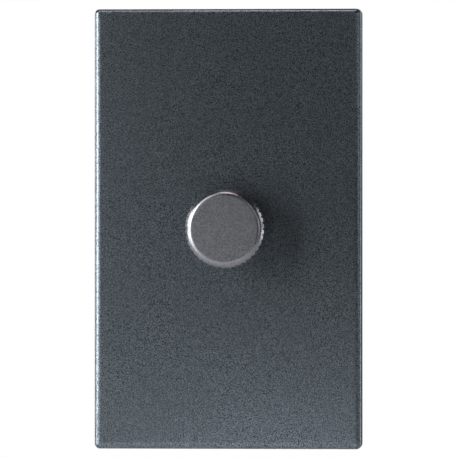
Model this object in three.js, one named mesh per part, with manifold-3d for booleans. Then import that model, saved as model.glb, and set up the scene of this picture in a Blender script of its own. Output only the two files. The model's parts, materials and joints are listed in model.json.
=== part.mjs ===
// Rotary push-on/push-off dimmer switch behind a screwless metal wall plate.
//
// Every piece is drawn in the device's own directions, in millimetres: x to the right, y up, and z out
// of the wall towards the room, with z = 0 on the wall and the control shaft on x = y = 0. The exported
// group is turned so that +Z is up and the knob faces -Y.

import * as THREE from 'three';
import { mergeVertices } from 'three/addons/utils/BufferGeometryUtils.js';
import Module from 'manifold-3d';

const wasm = await Module();
wasm.setup();

// ---------------------------------------------------------------------------------- driving dimensions

const CONTACT_GAP = 0.1; // left between pieces that rest on each other
const LOOSE_GAP = 0.3; // left round pieces that pass through each other

// Wall plate
const PLATE_WIDTH = 70;
const PLATE_HEIGHT = 115.2;
const PLATE_FRONT = 7.5;
const PLATE_SKIN = 2;
const PLATE_EDGE_RADIUS = 1.2;
const PLATE_CORNER_RADIUS = 1.4;
const PLATE_HOLE_RADIUS = 5.8;
const GASKET_THICKNESS = 0.5;
const GASKET_WIDTH = 3.2;

// Knob
const KNOB_FRONT = 20.2;
const KNOB_BACK = 10.1;
const KNOB_CREST_RADIUS = 10.3;
const KNOB_FACE_RADIUS = 8.55;
const KNOB_EDGE_RADIUS = 1.7; // the front edge rolls over until it meets a 45 degree chamfer
const KNURL_COUNT = 40;
const KNURL_DEPTH = 0.38;
const KNOB_BORE_RADIUS = 8.4;
const KNOB_FACE_THICKNESS = 2;

// Mounting strap and the screws that hold it
const STRAP_THICKNESS = 1.6;
const STRAP_WIDTH = 46;
const STRAP_HEIGHT = 76;
const STRAP_LENGTH = 106.4;
const EAR_WIDTH = 20;
const BOX_SCREW_SPACING = 83.3;
const ADAPTER_SCREW_SPACING = 96.8;

// Plastic adapter frame that the plate snaps on to
const ADAPTER_WIDTH = 63.2;
const ADAPTER_HEIGHT = 109.4;
const ADAPTER_WINDOW = { width: 48, height: 91.4 };
const ADAPTER_BACK = STRAP_THICKNESS + CONTACT_GAP;
const ADAPTER_FRONT = ADAPTER_BACK + 2;
const CATCH_Y = 30;

// Rear case
const CASE_WIDTH = 44;
const CASE_HEIGHT = 60;
const CASE_BACK = -28;
const CASE_FRONT = -CONTACT_GAP;
const CASE_WALL = 2;
const CASE_EAR = { x: 16, y: 33, radius: 3.4, thickness: 3 };
const TERMINAL_Y = 8.5;
const TERMINAL_Z = -12.5;

// Control shaft, bushing and potentiometer
const SHAFT_RADIUS = 3;
const SHAFT_BACK = -8.7;
const SHAFT_FRONT = 17.2;
const BUSHING_RADIUS = 4.75;
const BUSHING_FRONT = 7;
const POT_RADIUS = 8.5;
const POT_FRONT = -CONTACT_GAP;
const ROTOR_FRONT = -4.1;
const ROTOR_BACK = -5.95;
const WAFER_FRONT = -6.9;
const WAFER_BACK = -8.4;
const REST_ANGLE = 225; // degrees, where the rotor's lug waits at the dim end of its turn
const TURN_RANGE = 270;

// Push switch and circuit board
const SWITCH_HALF = 7.4;
const SWITCH_BACK = -18.4;
const BOARD_FRONT = -20;
const BOARD_THICKNESS = 1.6;
const BOARD_TOP = BOARD_FRONT + CONTACT_GAP; // where leads and feet stop

// ------------------------------------------------------------------------------------------- finishes

const FINISHES = {
  plate: { color: 0x42484d, roughness: 0.42, metalness: 0.75 },
  knob: { color: 0x66666a, roughness: 0.4, metalness: 0.8 },
  blackPlastic: { color: 0x1d1e20, roughness: 0.6, metalness: 0 },
  greyPlastic: { color: 0x55585a, roughness: 0.6, metalness: 0 },
  whitePlastic: { color: 0xd8d6cd, roughness: 0.5, metalness: 0 },
  foam: { color: 0x2b2c2e, roughness: 0.95, metalness: 0 },
  aluminium: { color: 0xb9bcbf, roughness: 0.4, metalness: 1 },
  zincSteel: { color: 0xb4b6b2, roughness: 0.35, metalness: 1 },
  greenSteel: { color: 0x2f7d43, roughness: 0.45, metalness: 0.5 },
  springSteel: { color: 0x8e9194, roughness: 0.3, metalness: 1 },
  brass: { color: 0xc39b4a, roughness: 0.35, metalness: 1 },
  copper: { color: 0xb4693a, roughness: 0.35, metalness: 1 },
  board: { color: 0x2d6b3f, roughness: 0.5, metalness: 0 },
  phenolic: { color: 0x7a4a26, roughness: 0.7, metalness: 0 },
  carbon: { color: 0x18181a, roughness: 0.8, metalness: 0 },
  ferrite: { color: 0x3a3d40, roughness: 0.8, metalness: 0 },
  epoxy: { color: 0x1a1a1b, roughness: 0.5, metalness: 0 },
  mica: { color: 0xc9c2a6, roughness: 0.5, metalness: 0 },
  filmYellow: { color: 0xc9a227, roughness: 0.45, metalness: 0 },
  resistorBlue: { color: 0x5a8fb0, roughness: 0.5, metalness: 0 },
  glass: { color: 0xdfe8ea, roughness: 0.1, metalness: 0 },
};

// ------------------------------------------------------------------------------------ geometry helpers

const MERGE_DISTANCE = 1e-4;
const OVERSHOOT = 1; // how far a cutting tool runs past what it cuts

// Shares vertices, drops faces that have collapsed to a line, and points every face outwards.
function closed(geometry) {
  const bare = new THREE.BufferGeometry();
  bare.setAttribute('position', geometry.getAttribute('position').clone());
  if (geometry.index) bare.setIndex(geometry.index.clone());
  const merged = mergeVertices(bare, MERGE_DISTANCE);
  const faces = [];
  const old = merged.index.array;
  for (let i = 0; i < old.length; i += 3) {
    const [a, b, c] = [old[i], old[i + 1], old[i + 2]];
    if (a !== b && b !== c && c !== a) faces.push(a, b, c);
  }
  const place = merged.getAttribute('position');
  const corners = [0, 1, 2].map(() => new THREE.Vector3());
  let volume = 0;
  for (let i = 0; i < faces.length; i += 3) {
    corners.forEach((corner, k) => corner.fromBufferAttribute(place, faces[i + k]));
    volume += corners[0].dot(corners[1].cross(corners[2]));
  }
  if (volume < 0) faces.reverse();
  merged.setIndex(faces);
  return merged;
}

function toSolid(geometry) {
  const mesh = closed(geometry);
  return new wasm.Manifold(new wasm.Mesh({
    numProp: 3,
    vertProperties: new Float32Array(mesh.getAttribute('position').array),
    triVerts: new Uint32Array(mesh.index.array),
  }));
}

function toGeometry(solid) {
  const mesh = solid.getMesh();
  const geometry = new THREE.BufferGeometry();
  geometry.setAttribute('position', new THREE.BufferAttribute(new Float32Array(mesh.vertProperties), 3));
  geometry.setIndex(new THREE.BufferAttribute(new Uint32Array(mesh.triVerts), 1));
  return geometry;
}

function join(first, ...rest) {
  return toGeometry(rest.reduce((whole, extra) => whole.add(toSolid(extra)), toSolid(first)));
}

function cut(first, ...tools) {
  return toGeometry(tools.reduce((whole, tool) => whole.subtract(toSolid(tool)), toSolid(first)));
}

function common(first, second) {
  return toGeometry(toSolid(first).intersect(toSolid(second)));
}

const radians = THREE.MathUtils.degToRad;

function block(x0, x1, y0, y1, z0, z1) {
  const box = new THREE.BoxGeometry(x1 - x0, y1 - y0, z1 - z0);
  return box.translate((x0 + x1) / 2, (y0 + y1) / 2, (z0 + z1) / 2);
}

// A round bar along z.
function bar(radius, back, front, x = 0, y = 0, sides = 24) {
  const cylinder = new THREE.CylinderGeometry(radius, radius, front - back, sides);
  return cylinder.rotateX(Math.PI / 2).translate(x, y, (back + front) / 2);
}

// A closed profile of [radius, z] points turned about the z axis.
function turned(profile, x = 0, y = 0, sides = 24) {
  const points = profile.map(([radius, z]) => new THREE.Vector2(radius, z));
  return new THREE.LatheGeometry(points, sides).rotateX(Math.PI / 2).translate(x, y, 0);
}

function ring(inner, outer, back, front, x = 0, y = 0, sides = 24) {
  return turned([[inner, back], [outer, back], [outer, front], [inner, front], [inner, back]], x, y, sides);
}

function roundedRect(width, height, radius, x = 0, y = 0) {
  const [right, top] = [width / 2 - radius, height / 2 - radius];
  const shape = new THREE.Shape();
  shape.absarc(x + right, y + top, radius, 0, Math.PI / 2);
  shape.absarc(x - right, y + top, radius, Math.PI / 2, Math.PI);
  shape.absarc(x - right, y - top, radius, Math.PI, Math.PI * 1.5);
  shape.absarc(x + right, y - top, radius, Math.PI * 1.5, Math.PI * 2);
  shape.closePath();
  return shape;
}

function polygon(points) {
  return new THREE.Shape(points.map(([x, y]) => new THREE.Vector2(x, y)));
}

function slab(shape, back, front, curveSegments = 5) {
  const options = { depth: front - back, bevelEnabled: false, curveSegments };
  return new THREE.ExtrudeGeometry(shape, options).translate(0, 0, back);
}

// A slab whose front edge is rounded. The shape is the outline of the flat front face.
function roundedSlab(shape, back, front, radius, segments, curveSegments = 5) {
  const options = {
    depth: front - back,
    bevelThickness: radius,
    bevelSize: radius,
    bevelSegments: segments,
    curveSegments,
  };
  const body = new THREE.ExtrudeGeometry(shape, options).translate(0, 0, back - radius);
  const room = 200;
  return common(body, block(-room, room, -room, room, back, front + OVERSHOOT));
}

// A side profile in x and z, as wide as given, centred on y.
function strip(points, width, y) {
  const options = { depth: width, bevelEnabled: false };
  const geometry = new THREE.ExtrudeGeometry(polygon(points), options);
  return geometry.translate(0, 0, -width / 2).rotateX(Math.PI / 2).translate(0, y, 0);
}

// Part of a flat ring between two angles in degrees.
function sector(inner, outer, from, to, back, front, steps = 12) {
  const points = [];
  for (let i = 0; i <= steps; i += 1) {
    const angle = radians(from + ((to - from) * i) / steps);
    points.push([outer * Math.cos(angle), outer * Math.sin(angle)]);
  }
  for (let i = steps; i >= 0; i -= 1) {
    const angle = radians(from + ((to - from) * i) / steps);
    points.push([inner * Math.cos(angle), inner * Math.sin(angle)]);
  }
  return slab(polygon(points), back, front);
}

// A star-shaped body: rings of points from back to front, all with the same number of points.
function stacked(rings) {
  const count = rings[0].length;
  const vertices = rings.flat(2);
  const faces = [];
  for (let level = 0; level + 1 < rings.length; level += 1) {
    for (let i = 0; i < count; i += 1) {
      const next = (i + 1) % count;
      const [a, b] = [level * count + i, level * count + next];
      faces.push(a, b, b + count, a, b + count, a + count);
    }
  }
  const backCentre = vertices.length / 3;
  vertices.push(0, 0, rings[0][0][2], 0, 0, rings.at(-1)[0][2]);
  const last = (rings.length - 1) * count;
  for (let i = 0; i < count; i += 1) {
    const next = (i + 1) % count;
    faces.push(backCentre, next, i, backCentre + 1, last + i, last + next);
  }
  const geometry = new THREE.BufferGeometry();
  geometry.setAttribute('position', new THREE.Float32BufferAttribute(vertices, 3));
  geometry.setIndex(faces);
  return geometry;
}

// A slotted pan-head screw along z: its head starts at seat and grows to the front.
function panScrew(shankRadius, headRadius, headHeight, seat, tip, x, y) {
  const body = turned([
    [0, tip],
    [shankRadius - 0.4, tip],
    [shankRadius, tip + 0.5],
    [shankRadius, seat],
    [headRadius, seat],
    [headRadius, seat + headHeight * 0.45],
    [headRadius * 0.75, seat + headHeight * 0.9],
    [headRadius * 0.4, seat + headHeight],
    [0, seat + headHeight],
  ], x, y, 14);
  const slotHalf = headRadius * 0.13;
  const floor = seat + headHeight * 0.5;
  const reach = headRadius + OVERSHOOT;
  return cut(body, block(x - reach, x + reach, y - slotHalf, y + slotHalf, floor, floor + headHeight));
}

const device = new THREE.Group();
device.name = 'rotary_dimmer';
device.rotation.x = Math.PI / 2;

function assembly() {
  const group = new THREE.Group();
  device.add(group);
  return group;
}

function add(group, name, finish, geometry) {
  const mesh = new THREE.Mesh(closed(geometry), new THREE.MeshStandardMaterial(FINISHES[finish]));
  mesh.name = name;
  group.add(mesh);
  return mesh;
}

// ------------------------------------------------------------------------------------------ the knob

const CHAMFER_ANGLE = 45;
const CHAMFER_RADIUS = KNOB_FACE_RADIUS + KNOB_EDGE_RADIUS * Math.sin(radians(CHAMFER_ANGLE));
const CHAMFER_FRONT = KNOB_FRONT - KNOB_EDGE_RADIUS * (1 - Math.cos(radians(CHAMFER_ANGLE)));
const KNURL_FRONT = CHAMFER_FRONT - (KNOB_CREST_RADIUS - CHAMFER_RADIUS);

// One ring of the knurled outline: wide rounded crests between narrow grooves.
function knurlRing(crest, depth, z) {
  const points = [];
  const profile = [[0, 1], [0.25, 0], [0.75, 0]];
  for (let flute = 0; flute < KNURL_COUNT; flute += 1) {
    for (const [step, share] of profile) {
      const angle = ((flute + step) / KNURL_COUNT) * Math.PI * 2;
      const radius = crest - depth * share;
      points.push([radius * Math.cos(angle), radius * Math.sin(angle), z]);
    }
  }
  return points;
}

function knobShell() {
  const rings = [
    knurlRing(KNOB_CREST_RADIUS - 0.4, 0, KNOB_BACK),
    knurlRing(KNOB_CREST_RADIUS, KNURL_DEPTH, KNOB_BACK + 0.4),
    knurlRing(KNOB_CREST_RADIUS, KNURL_DEPTH, KNURL_FRONT),
  ];
  const steps = 3;
  for (let i = 0; i <= steps; i += 1) {
    const angle = radians(CHAMFER_ANGLE * (1 - i / steps));
    const radius = KNOB_FACE_RADIUS + KNOB_EDGE_RADIUS * Math.sin(angle);
    rings.push(knurlRing(radius, 0, KNOB_FRONT - KNOB_EDGE_RADIUS * (1 - Math.cos(angle))));
  }
  const boreFront = KNOB_FRONT - KNOB_FACE_THICKNESS;
  return cut(stacked(rings), bar(KNOB_BORE_RADIUS, KNOB_BACK - OVERSHOOT, boreFront, 0, 0, 40));
}

const HUB_BACK = 10.9;
const HUB_FRONT = KNOB_FRONT - KNOB_FACE_THICKNESS - LOOSE_GAP;
const HUB_CORE_RADIUS = 5;
const CLIP_BACK = HUB_BACK + 0.6;
const CLIP_FRONT = CLIP_BACK + 1.2;
const D_FLAT = 1.5; // from the shaft's axis to its flat

function knobHub() {
  const ribs = [];
  const ribCount = 6;
  for (let i = 0; i < ribCount; i += 1) {
    const reach = KNOB_BORE_RADIUS - LOOSE_GAP;
    const rib = block(HUB_CORE_RADIUS - 1, reach, -0.7, 0.7, CLIP_FRONT + 0.4, HUB_FRONT);
    ribs.push(rib.rotateZ(radians((360 / ribCount) * i)));
  }
  const body = join(bar(HUB_CORE_RADIUS, HUB_BACK, HUB_FRONT), ...ribs);
  const bore = bar(SHAFT_RADIUS + CONTACT_GAP, HUB_BACK - OVERSHOOT, SHAFT_FRONT + CONTACT_GAP, 0, 0, 32);
  const flat = D_FLAT + CONTACT_GAP;
  const dBore = cut(bore, block(-9, 9, flat, 9, HUB_BACK - 2 * OVERSHOOT, HUB_FRONT));
  const split = block(-0.4, 0.4, -HUB_CORE_RADIUS - 1, 0, HUB_BACK - OVERSHOOT, CLIP_FRONT + 0.2);
  return cut(body, dBore, split);
}

function knobRingClip() {
  const inner = HUB_CORE_RADIUS + CONTACT_GAP;
  return sector(inner, inner + 0.7, -80, 260, CLIP_BACK, CLIP_FRONT, 28);
}

const knob = assembly();
add(knob, 'knob_shell', 'knob', knobShell());
add(knob, 'knob_hub', 'blackPlastic', knobHub());
add(knob, 'knob_ring_clip', 'springSteel', knobRingClip());

// ------------------------------------------------------------------------- wall plate and what holds it

const CATCH_BACK = GASKET_THICKNESS + 0.6;
const CATCH_FRONT = CATCH_BACK + 1;
const PLATE_BACK = GASKET_THICKNESS + CONTACT_GAP;
const PLATE_INNER_HALF = PLATE_WIDTH / 2 - PLATE_SKIN;

function faceplate() {
  const edge = PLATE_EDGE_RADIUS;
  const outline = roundedRect(PLATE_WIDTH - 2 * edge, PLATE_HEIGHT - 2 * edge, PLATE_CORNER_RADIUS - edge);
  const body = roundedSlab(outline, PLATE_BACK, PLATE_FRONT, edge, 4, 4);
  const inside = roundedRect(PLATE_WIDTH - 2 * PLATE_SKIN, PLATE_HEIGHT - 2 * PLATE_SKIN, 1);
  const hollow = slab(inside, PLATE_BACK - OVERSHOOT, PLATE_FRONT - PLATE_SKIN, 3);
  const hole = bar(PLATE_HOLE_RADIUS, 0, PLATE_FRONT + OVERSHOOT, 0, 0, 32);
  const catches = [];
  for (const side of [-1, 1]) {
    for (const y of [-CATCH_Y, CATCH_Y]) {
      const inner = side * (ADAPTER_WIDTH / 2 + LOOSE_GAP);
      const outer = side * (PLATE_INNER_HALF + 0.5);
      const [x0, x1] = [Math.min(inner, outer), Math.max(inner, outer)];
      catches.push(block(x0, x1, y - 4, y + 4, CATCH_BACK, CATCH_FRONT));
    }
  }
  return join(cut(body, hollow, hole), ...catches);
}

function wallGasket() {
  const outer = slab(roundedRect(PLATE_WIDTH - 1, PLATE_HEIGHT - 1, 1.2), 0, GASKET_THICKNESS);
  const [width, height] = [PLATE_WIDTH - 1 - 2 * GASKET_WIDTH, PLATE_HEIGHT - 1 - 2 * GASKET_WIDTH];
  return cut(outer, slab(roundedRect(width, height, 1), -OVERSHOOT, OVERSHOOT));
}

// The frame's long sides carry four barbs on spring fingers, each freed by a slot beside it.
function adapterFrame() {
  const base = slab(roundedRect(ADAPTER_WIDTH, ADAPTER_HEIGHT, 2), ADAPTER_BACK, ADAPTER_FRONT, 4);
  const ribOuter = roundedRect(ADAPTER_WIDTH - 6, ADAPTER_HEIGHT - 0.8, 1.6);
  const rib = slab(ribOuter, ADAPTER_FRONT - 0.5, PLATE_FRONT - PLATE_SKIN - LOOSE_GAP, 4);
  const ribHollow = roundedRect(ADAPTER_WIDTH - 8.4, ADAPTER_HEIGHT - 3.2, 1);
  const inside = slab(ribHollow, ADAPTER_FRONT, PLATE_FRONT, 4);
  const window = roundedRect(ADAPTER_WINDOW.width, ADAPTER_WINDOW.height, 3);
  const tools = [inside, slab(window, 0, PLATE_FRONT, 4)];
  const barbs = [];
  const barbReach = 1;
  for (const side of [-1, 1]) {
    for (const y of [-CATCH_Y, CATCH_Y]) {
      const edge = ADAPTER_WIDTH / 2;
      const slot = block(edge - 2.6, edge - 1.4, y - 7, y + 7, 0, PLATE_FRONT);
      const barbBack = CATCH_FRONT + CONTACT_GAP;
      const barb = block(edge - 0.6, edge + barbReach, y - 3.5, y + 3.5, barbBack, ADAPTER_FRONT);
      tools.push(side > 0 ? slot : slot.rotateZ(Math.PI).translate(0, 2 * y, 0));
      barbs.push(side > 0 ? barb : barb.rotateZ(Math.PI).translate(0, 2 * y, 0));
    }
  }
  for (const y of [-ADAPTER_SCREW_SPACING / 2, ADAPTER_SCREW_SPACING / 2]) {
    tools.push(bar(1.9, 0, PLATE_FRONT, 0, y, 16));
  }
  return join(cut(join(base, rib), ...tools), ...barbs);
}

function earthSpring() {
  const [low, high] = [STRAP_THICKNESS + CONTACT_GAP, PLATE_FRONT - PLATE_SKIN - CONTACT_GAP];
  const sheet = 0.4;
  const top = [];
  const steps = 10;
  for (let i = 0; i <= steps; i += 1) {
    const share = i / steps;
    const rise = Math.sin(share * Math.PI) ** 2;
    top.push([-5 + 12 * share, low + sheet + (high - low - sheet) * rise]);
  }
  const under = top.map(([x, z]) => [x, z - sheet]).reverse();
  const points = [[-9, low + sheet], ...top, [9, low + sheet], [9, low], ...under, [-9, low]];
  return strip(points, 5, 27);
}

const cover = assembly();
add(cover, 'faceplate', 'plate', faceplate());
add(cover, 'wall_gasket', 'foam', wallGasket());
add(cover, 'adapter_frame', 'greyPlastic', adapterFrame());
for (const [place, sign] of [['upper', 1], ['lower', -1]]) {
  const y = (sign * ADAPTER_SCREW_SPACING) / 2;
  const seat = ADAPTER_FRONT + CONTACT_GAP;
  add(cover, `adapter_screw_${place}`, 'zincSteel', panScrew(1.5, 2.9, 1.3, seat, 0.1, 0, y));
}
add(cover, 'earth_spring', 'springSteel', earthSpring());

// --------------------------------------------------------------------------- mounting strap and fixings

const EARTH_TAB = { half: 5, outer: -36.4, inner: -34.8, back: -9, screwZ: -5 };
const TRIAC_SCREW_Y = -13.3;
const LOCATING_LUG = { x: 6.6, half: 0.6, reach: 1.2 };
const EAR_PAD_START = 46.4; // from the middle to the pads that rest on the wall
const EAR_PAD_STEP = 0.2; // how far the rest of the strap is coined back from the pads

function mountingStrap() {
  const centre = slab(roundedRect(STRAP_WIDTH, STRAP_HEIGHT, 3), 0, STRAP_THICKNESS);
  const ears = slab(roundedRect(EAR_WIDTH, STRAP_LENGTH, 3), 0, STRAP_THICKNESS);
  const tab = EARTH_TAB;
  const earthTab = block(-tab.half, tab.half, tab.outer, tab.inner, tab.back, STRAP_THICKNESS / 2);
  const [back, front] = [-OVERSHOOT, STRAP_THICKNESS + OVERSHOOT];
  const bushingHole = bar(BUSHING_RADIUS + 0.15, back, front, 0, 0, 28);
  const triacHole = bar(1.75, back, front, 0, TRIAC_SCREW_Y, 12);
  const relief = block(-STRAP_WIDTH, STRAP_WIDTH, -EAR_PAD_START, EAR_PAD_START, back, EAR_PAD_STEP);
  const plate = cut(join(centre, ears), relief);
  const tools = [bushingHole, triacHole];
  for (const sign of [-1, 1]) {
    tools.push(slab(roundedRect(7.6, 4.3, 2.14, 0, (sign * BOX_SCREW_SPACING) / 2), back, front, 4));
    tools.push(bar(1.75, back, front, 0, (sign * ADAPTER_SCREW_SPACING) / 2, 12));
    for (const x of [-CASE_EAR.x, CASE_EAR.x]) tools.push(bar(1.6, back, front, x, sign * CASE_EAR.y, 12));
  }
  const lug = LOCATING_LUG;
  const gap = LOOSE_GAP;
  tools.push(block(lug.x - lug.half - gap, lug.x + lug.half + gap, -1.2 - gap, 1.2 + gap, back, front));
  const screwHole = bar(1.9, tab.outer - 1, tab.inner + 1, 0, 0, 16).rotateX(Math.PI / 2);
  // After the turn the bar runs along -y, so it is brought back to the tab at the screw's height.
  tools.push(screwHole.translate(0, tab.outer + tab.inner, tab.screwZ));
  return cut(join(plate, earthTab), ...tools);
}

// The green earth screw lies along y, with its head below the strap's bent tab.
function earthScrew() {
  const seat = -EARTH_TAB.outer + CONTACT_GAP;
  const screw = panScrew(1.7, 3.5, 1.8, seat, 31, 0, 0);
  return screw.rotateX(Math.PI / 2).translate(0, 0, EARTH_TAB.screwZ);
}

const strap = assembly();
add(strap, 'mounting_strap', 'aluminium', mountingStrap());
for (const [place, sign] of [['upper', 1], ['lower', -1]]) {
  const y = (sign * BOX_SCREW_SPACING) / 2;
  const seat = STRAP_THICKNESS + CONTACT_GAP;
  add(strap, `box_screw_${place}`, 'zincSteel', panScrew(1.72, 3.3, 1.9, seat, -21, 0, y));
  add(strap, `screw_retainer_${place}`, 'whitePlastic', ring(1.85, 4.4, -1.1, -CONTACT_GAP, 0, y, 16));
}
add(strap, 'earth_screw', 'greenSteel', earthScrew());

// ------------------------------------------------------------------- shaft, bushing and potentiometer

const KEY_FLAT = 2; // from the shaft's axis to each of its two rear flats
const SHAFT_CLIP = { back: -1.75, front: -1.25, groove: 2.25 };

function controlBushing() {
  const [back, front] = [SHAFT_CLIP.front + CONTACT_GAP, BUSHING_FRONT];
  const inner = SHAFT_RADIUS + 0.08;
  return turned([
    [inner, back],
    [BUSHING_RADIUS, back],
    [BUSHING_RADIUS, front - 0.5],
    [BUSHING_RADIUS - 0.5, front],
    [inner, front],
    [inner, back],
  ], 0, 0, 32);
}

function lockWasher() {
  const [toothCount, outer, root] = [14, 7.4, 6.3];
  const points = [];
  for (let i = 0; i < toothCount * 4; i += 1) {
    const angle = (i / (toothCount * 4)) * Math.PI * 2;
    const radius = i % 4 < 2 ? outer : root;
    points.push([radius * Math.cos(angle), radius * Math.sin(angle)]);
  }
  const back = STRAP_THICKNESS + CONTACT_GAP;
  const star = slab(polygon(points), back, back + 0.5);
  return cut(star, bar(BUSHING_RADIUS + 0.1, 0, PLATE_FRONT, 0, 0, 32));
}

function bushingNut() {
  const acrossCorners = 14 / Math.cos(Math.PI / 6);
  const back = STRAP_THICKNESS + 0.5 + 2 * CONTACT_GAP;
  const hex = bar(acrossCorners / 2, back, back + 2.2, 0, 0, 6);
  return cut(hex, bar(BUSHING_RADIUS + 0.1, 0, PLATE_FRONT, 0, 0, 32));
}

// A round shaft with a D flat for the knob, a groove for its clip and two rear flats for the rotor.
function controlShaft() {
  const clip = SHAFT_CLIP;
  const rod = turned([
    [0, SHAFT_BACK],
    [SHAFT_RADIUS, SHAFT_BACK],
    [SHAFT_RADIUS, clip.back - 0.05],
    [clip.groove, clip.back - 0.05],
    [clip.groove, clip.front + 0.05],
    [SHAFT_RADIUS, clip.front + 0.05],
    [SHAFT_RADIUS, SHAFT_FRONT - 0.5],
    [SHAFT_RADIUS - 0.5, SHAFT_FRONT],
    [0, SHAFT_FRONT],
  ], 0, 0, 32);
  const keyBack = SHAFT_BACK - OVERSHOOT;
  const keyFront = clip.back - 0.05;
  return cut(
    rod,
    block(-9, 9, D_FLAT, 9, HUB_BACK - 2.3, SHAFT_FRONT + OVERSHOOT),
    block(-9, 9, KEY_FLAT, 9, keyBack, keyFront),
    block(-9, 9, -9, -KEY_FLAT, keyBack, keyFront),
  );
}

function shaftClip() {
  return sector(SHAFT_CLIP.groove + CONTACT_GAP, 4.3, -55, 235, SHAFT_CLIP.back, SHAFT_CLIP.front, 20);
}

const STOP_HALF_ANGLE = (360 - TURN_RANGE) / 2 - 9;

// A drawn can with a lug that stops it turning in the strap and an inner stop for the rotor.
function potCan() {
  const shell = ring(POT_RADIUS - 0.4, POT_RADIUS, WAFER_FRONT + CONTACT_GAP, POT_FRONT, 0, 0, 24);
  const face = ring(BUSHING_RADIUS + 0.15, POT_RADIUS - 0.2, POT_FRONT - 0.7, POT_FRONT, 0, 0, 24);
  const lug = LOCATING_LUG;
  const locating = block(lug.x - lug.half, lug.x + lug.half, -1.2, 1.2, POT_FRONT - 0.3, lug.reach);
  const [from, to] = [270 - STOP_HALF_ANGLE, 270 + STOP_HALF_ANGLE];
  const stop = sector(7.1, POT_RADIUS - 0.2, from, to, ROTOR_BACK, ROTOR_FRONT);
  return join(shell, face, locating, stop);
}

function potWafer() {
  const disc = bar(POT_RADIUS, WAFER_BACK, WAFER_FRONT, 0, 0, 32);
  const tongue = block(-7, 7, -11, -5, WAFER_BACK, WAFER_FRONT);
  return cut(join(disc, tongue), bar(SHAFT_RADIUS + LOOSE_GAP, WAFER_BACK - 1, WAFER_FRONT + 1, 0, 0, 24));
}

function potRotor() {
  const disc = bar(6.7, ROTOR_BACK, ROTOR_FRONT, 0, 0, 32);
  const lug = sector(5.5, 7.9, REST_ANGLE - 7, REST_ANGLE + 7, ROTOR_BACK, ROTOR_FRONT, 4);
  const bore = bar(SHAFT_RADIUS + CONTACT_GAP, ROTOR_BACK - 1, ROTOR_FRONT + 1, 0, 0, 32);
  const flat = KEY_FLAT + CONTACT_GAP;
  const keyed = cut(bore, block(-9, 9, flat, 9, -9, 0), block(-9, 9, -9, -flat, -9, 0));
  return cut(join(disc, lug), keyed);
}

function wiperContact() {
  const [back, front] = [ROTOR_BACK - 0.55, ROTOR_BACK - CONTACT_GAP];
  const collar = ring(3.4, 4.2, back, front, 0, 0, 24);
  return join(collar, sector(3.8, 6.4, REST_ANGLE - 8, REST_ANGLE + 8, back, front, 4));
}

function resistanceTrack() {
  return sector(4.5, 6.5, -50, 230, WAFER_FRONT + 0.05, WAFER_FRONT + 0.25, 24);
}

// A flat tag under the wafer's tongue that turns back to the board.
function potTerminal(x) {
  const top = WAFER_BACK - CONTACT_GAP;
  const tag = block(x - 0.8, x + 0.8, -10.4, -7.9, top - 0.6, top);
  const leg = block(x - 0.6, x + 0.6, -10.4, -9.8, BOARD_TOP, top);
  return join(tag, leg);
}

const control = assembly();
add(control, 'control_bushing', 'brass', controlBushing());
add(control, 'bushing_lock_washer', 'springSteel', lockWasher());
add(control, 'bushing_nut', 'zincSteel', bushingNut());
add(control, 'control_shaft', 'zincSteel', controlShaft());
add(control, 'shaft_clip', 'springSteel', shaftClip());
add(control, 'pot_can', 'zincSteel', potCan());
add(control, 'pot_wafer', 'phenolic', potWafer());
add(control, 'resistance_track', 'carbon', resistanceTrack());
add(control, 'pot_rotor', 'whitePlastic', potRotor());
add(control, 'wiper_contact', 'springSteel', wiperContact());
[-5, 0, 5].forEach((x, i) => add(control, `pot_terminal_${i + 1}`, 'brass', potTerminal(x)));

// -------------------------------------------------------------------------------------- push switch

const PLUNGER_FRONT = SHAFT_BACK - CONTACT_GAP;
const SWITCH_FLOOR = SWITCH_BACK + 1.2;
const FLANGE = { back: -11.6, front: -10.4, radius: 4.4 };
const CONTACT_Y = 5.3; // middle of the contact arm and both fixed contacts
const ARM = { left: -5.4, right: 4.9, back: -12.7, front: -12.2, width: 1.2 };
const PIVOT_X = -4.9;
const SWITCH_PIN = { half: 0.3, width: 1.2 };

function switchBase() {
  const half = SWITCH_HALF;
  const box = block(-half, half, -half, half, SWITCH_BACK, WAFER_BACK - CONTACT_GAP);
  const inner = half - 1.2;
  const tools = [block(-inner, inner, -inner, inner, SWITCH_FLOOR, 0)];
  for (const x of [-5.5, 5.5]) {
    const [w, h] = [SWITCH_PIN.half + LOOSE_GAP, SWITCH_PIN.width / 2 + 0.2];
    tools.push(block(x - w, x + w, CONTACT_Y - h, CONTACT_Y + h, SWITCH_BACK - 1, SWITCH_FLOOR + 1));
  }
  return cut(box, ...tools);
}

function switchPlunger() {
  const body = turned([
    [0, -13.4],
    [1.6, -13.4],
    [1.6, FLANGE.back],
    [FLANGE.radius, FLANGE.back],
    [FLANGE.radius, FLANGE.front],
    [2.4, FLANGE.front],
    [2.4, PLUNGER_FRONT],
    [0, PLUNGER_FRONT],
  ]);
  return join(body, block(-0.8, 0.8, 3.8, 5.7, FLANGE.back + 0.7, FLANGE.front));
}

function returnSpring() {
  const [turns, stepsPerTurn, radius, wire] = [4.5, 10, 3, 0.28];
  const [low, high] = [SWITCH_FLOOR + wire + 0.1, FLANGE.back - wire - 0.1];
  const points = [];
  for (let i = 0; i <= turns * stepsPerTurn; i += 1) {
    const share = i / (turns * stepsPerTurn);
    const angle = share * turns * Math.PI * 2;
    const height = low + (high - low) * share;
    points.push(new THREE.Vector3(radius * Math.cos(angle), radius * Math.sin(angle), height));
  }
  const section = new THREE.Shape().absarc(0, 0, wire, 0, Math.PI * 2);
  const path = new THREE.CatmullRomCurve3(points);
  const options = { steps: turns * stepsPerTurn, extrudePath: path, curveSegments: 3 };
  return new THREE.ExtrudeGeometry(section, options);
}

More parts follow.
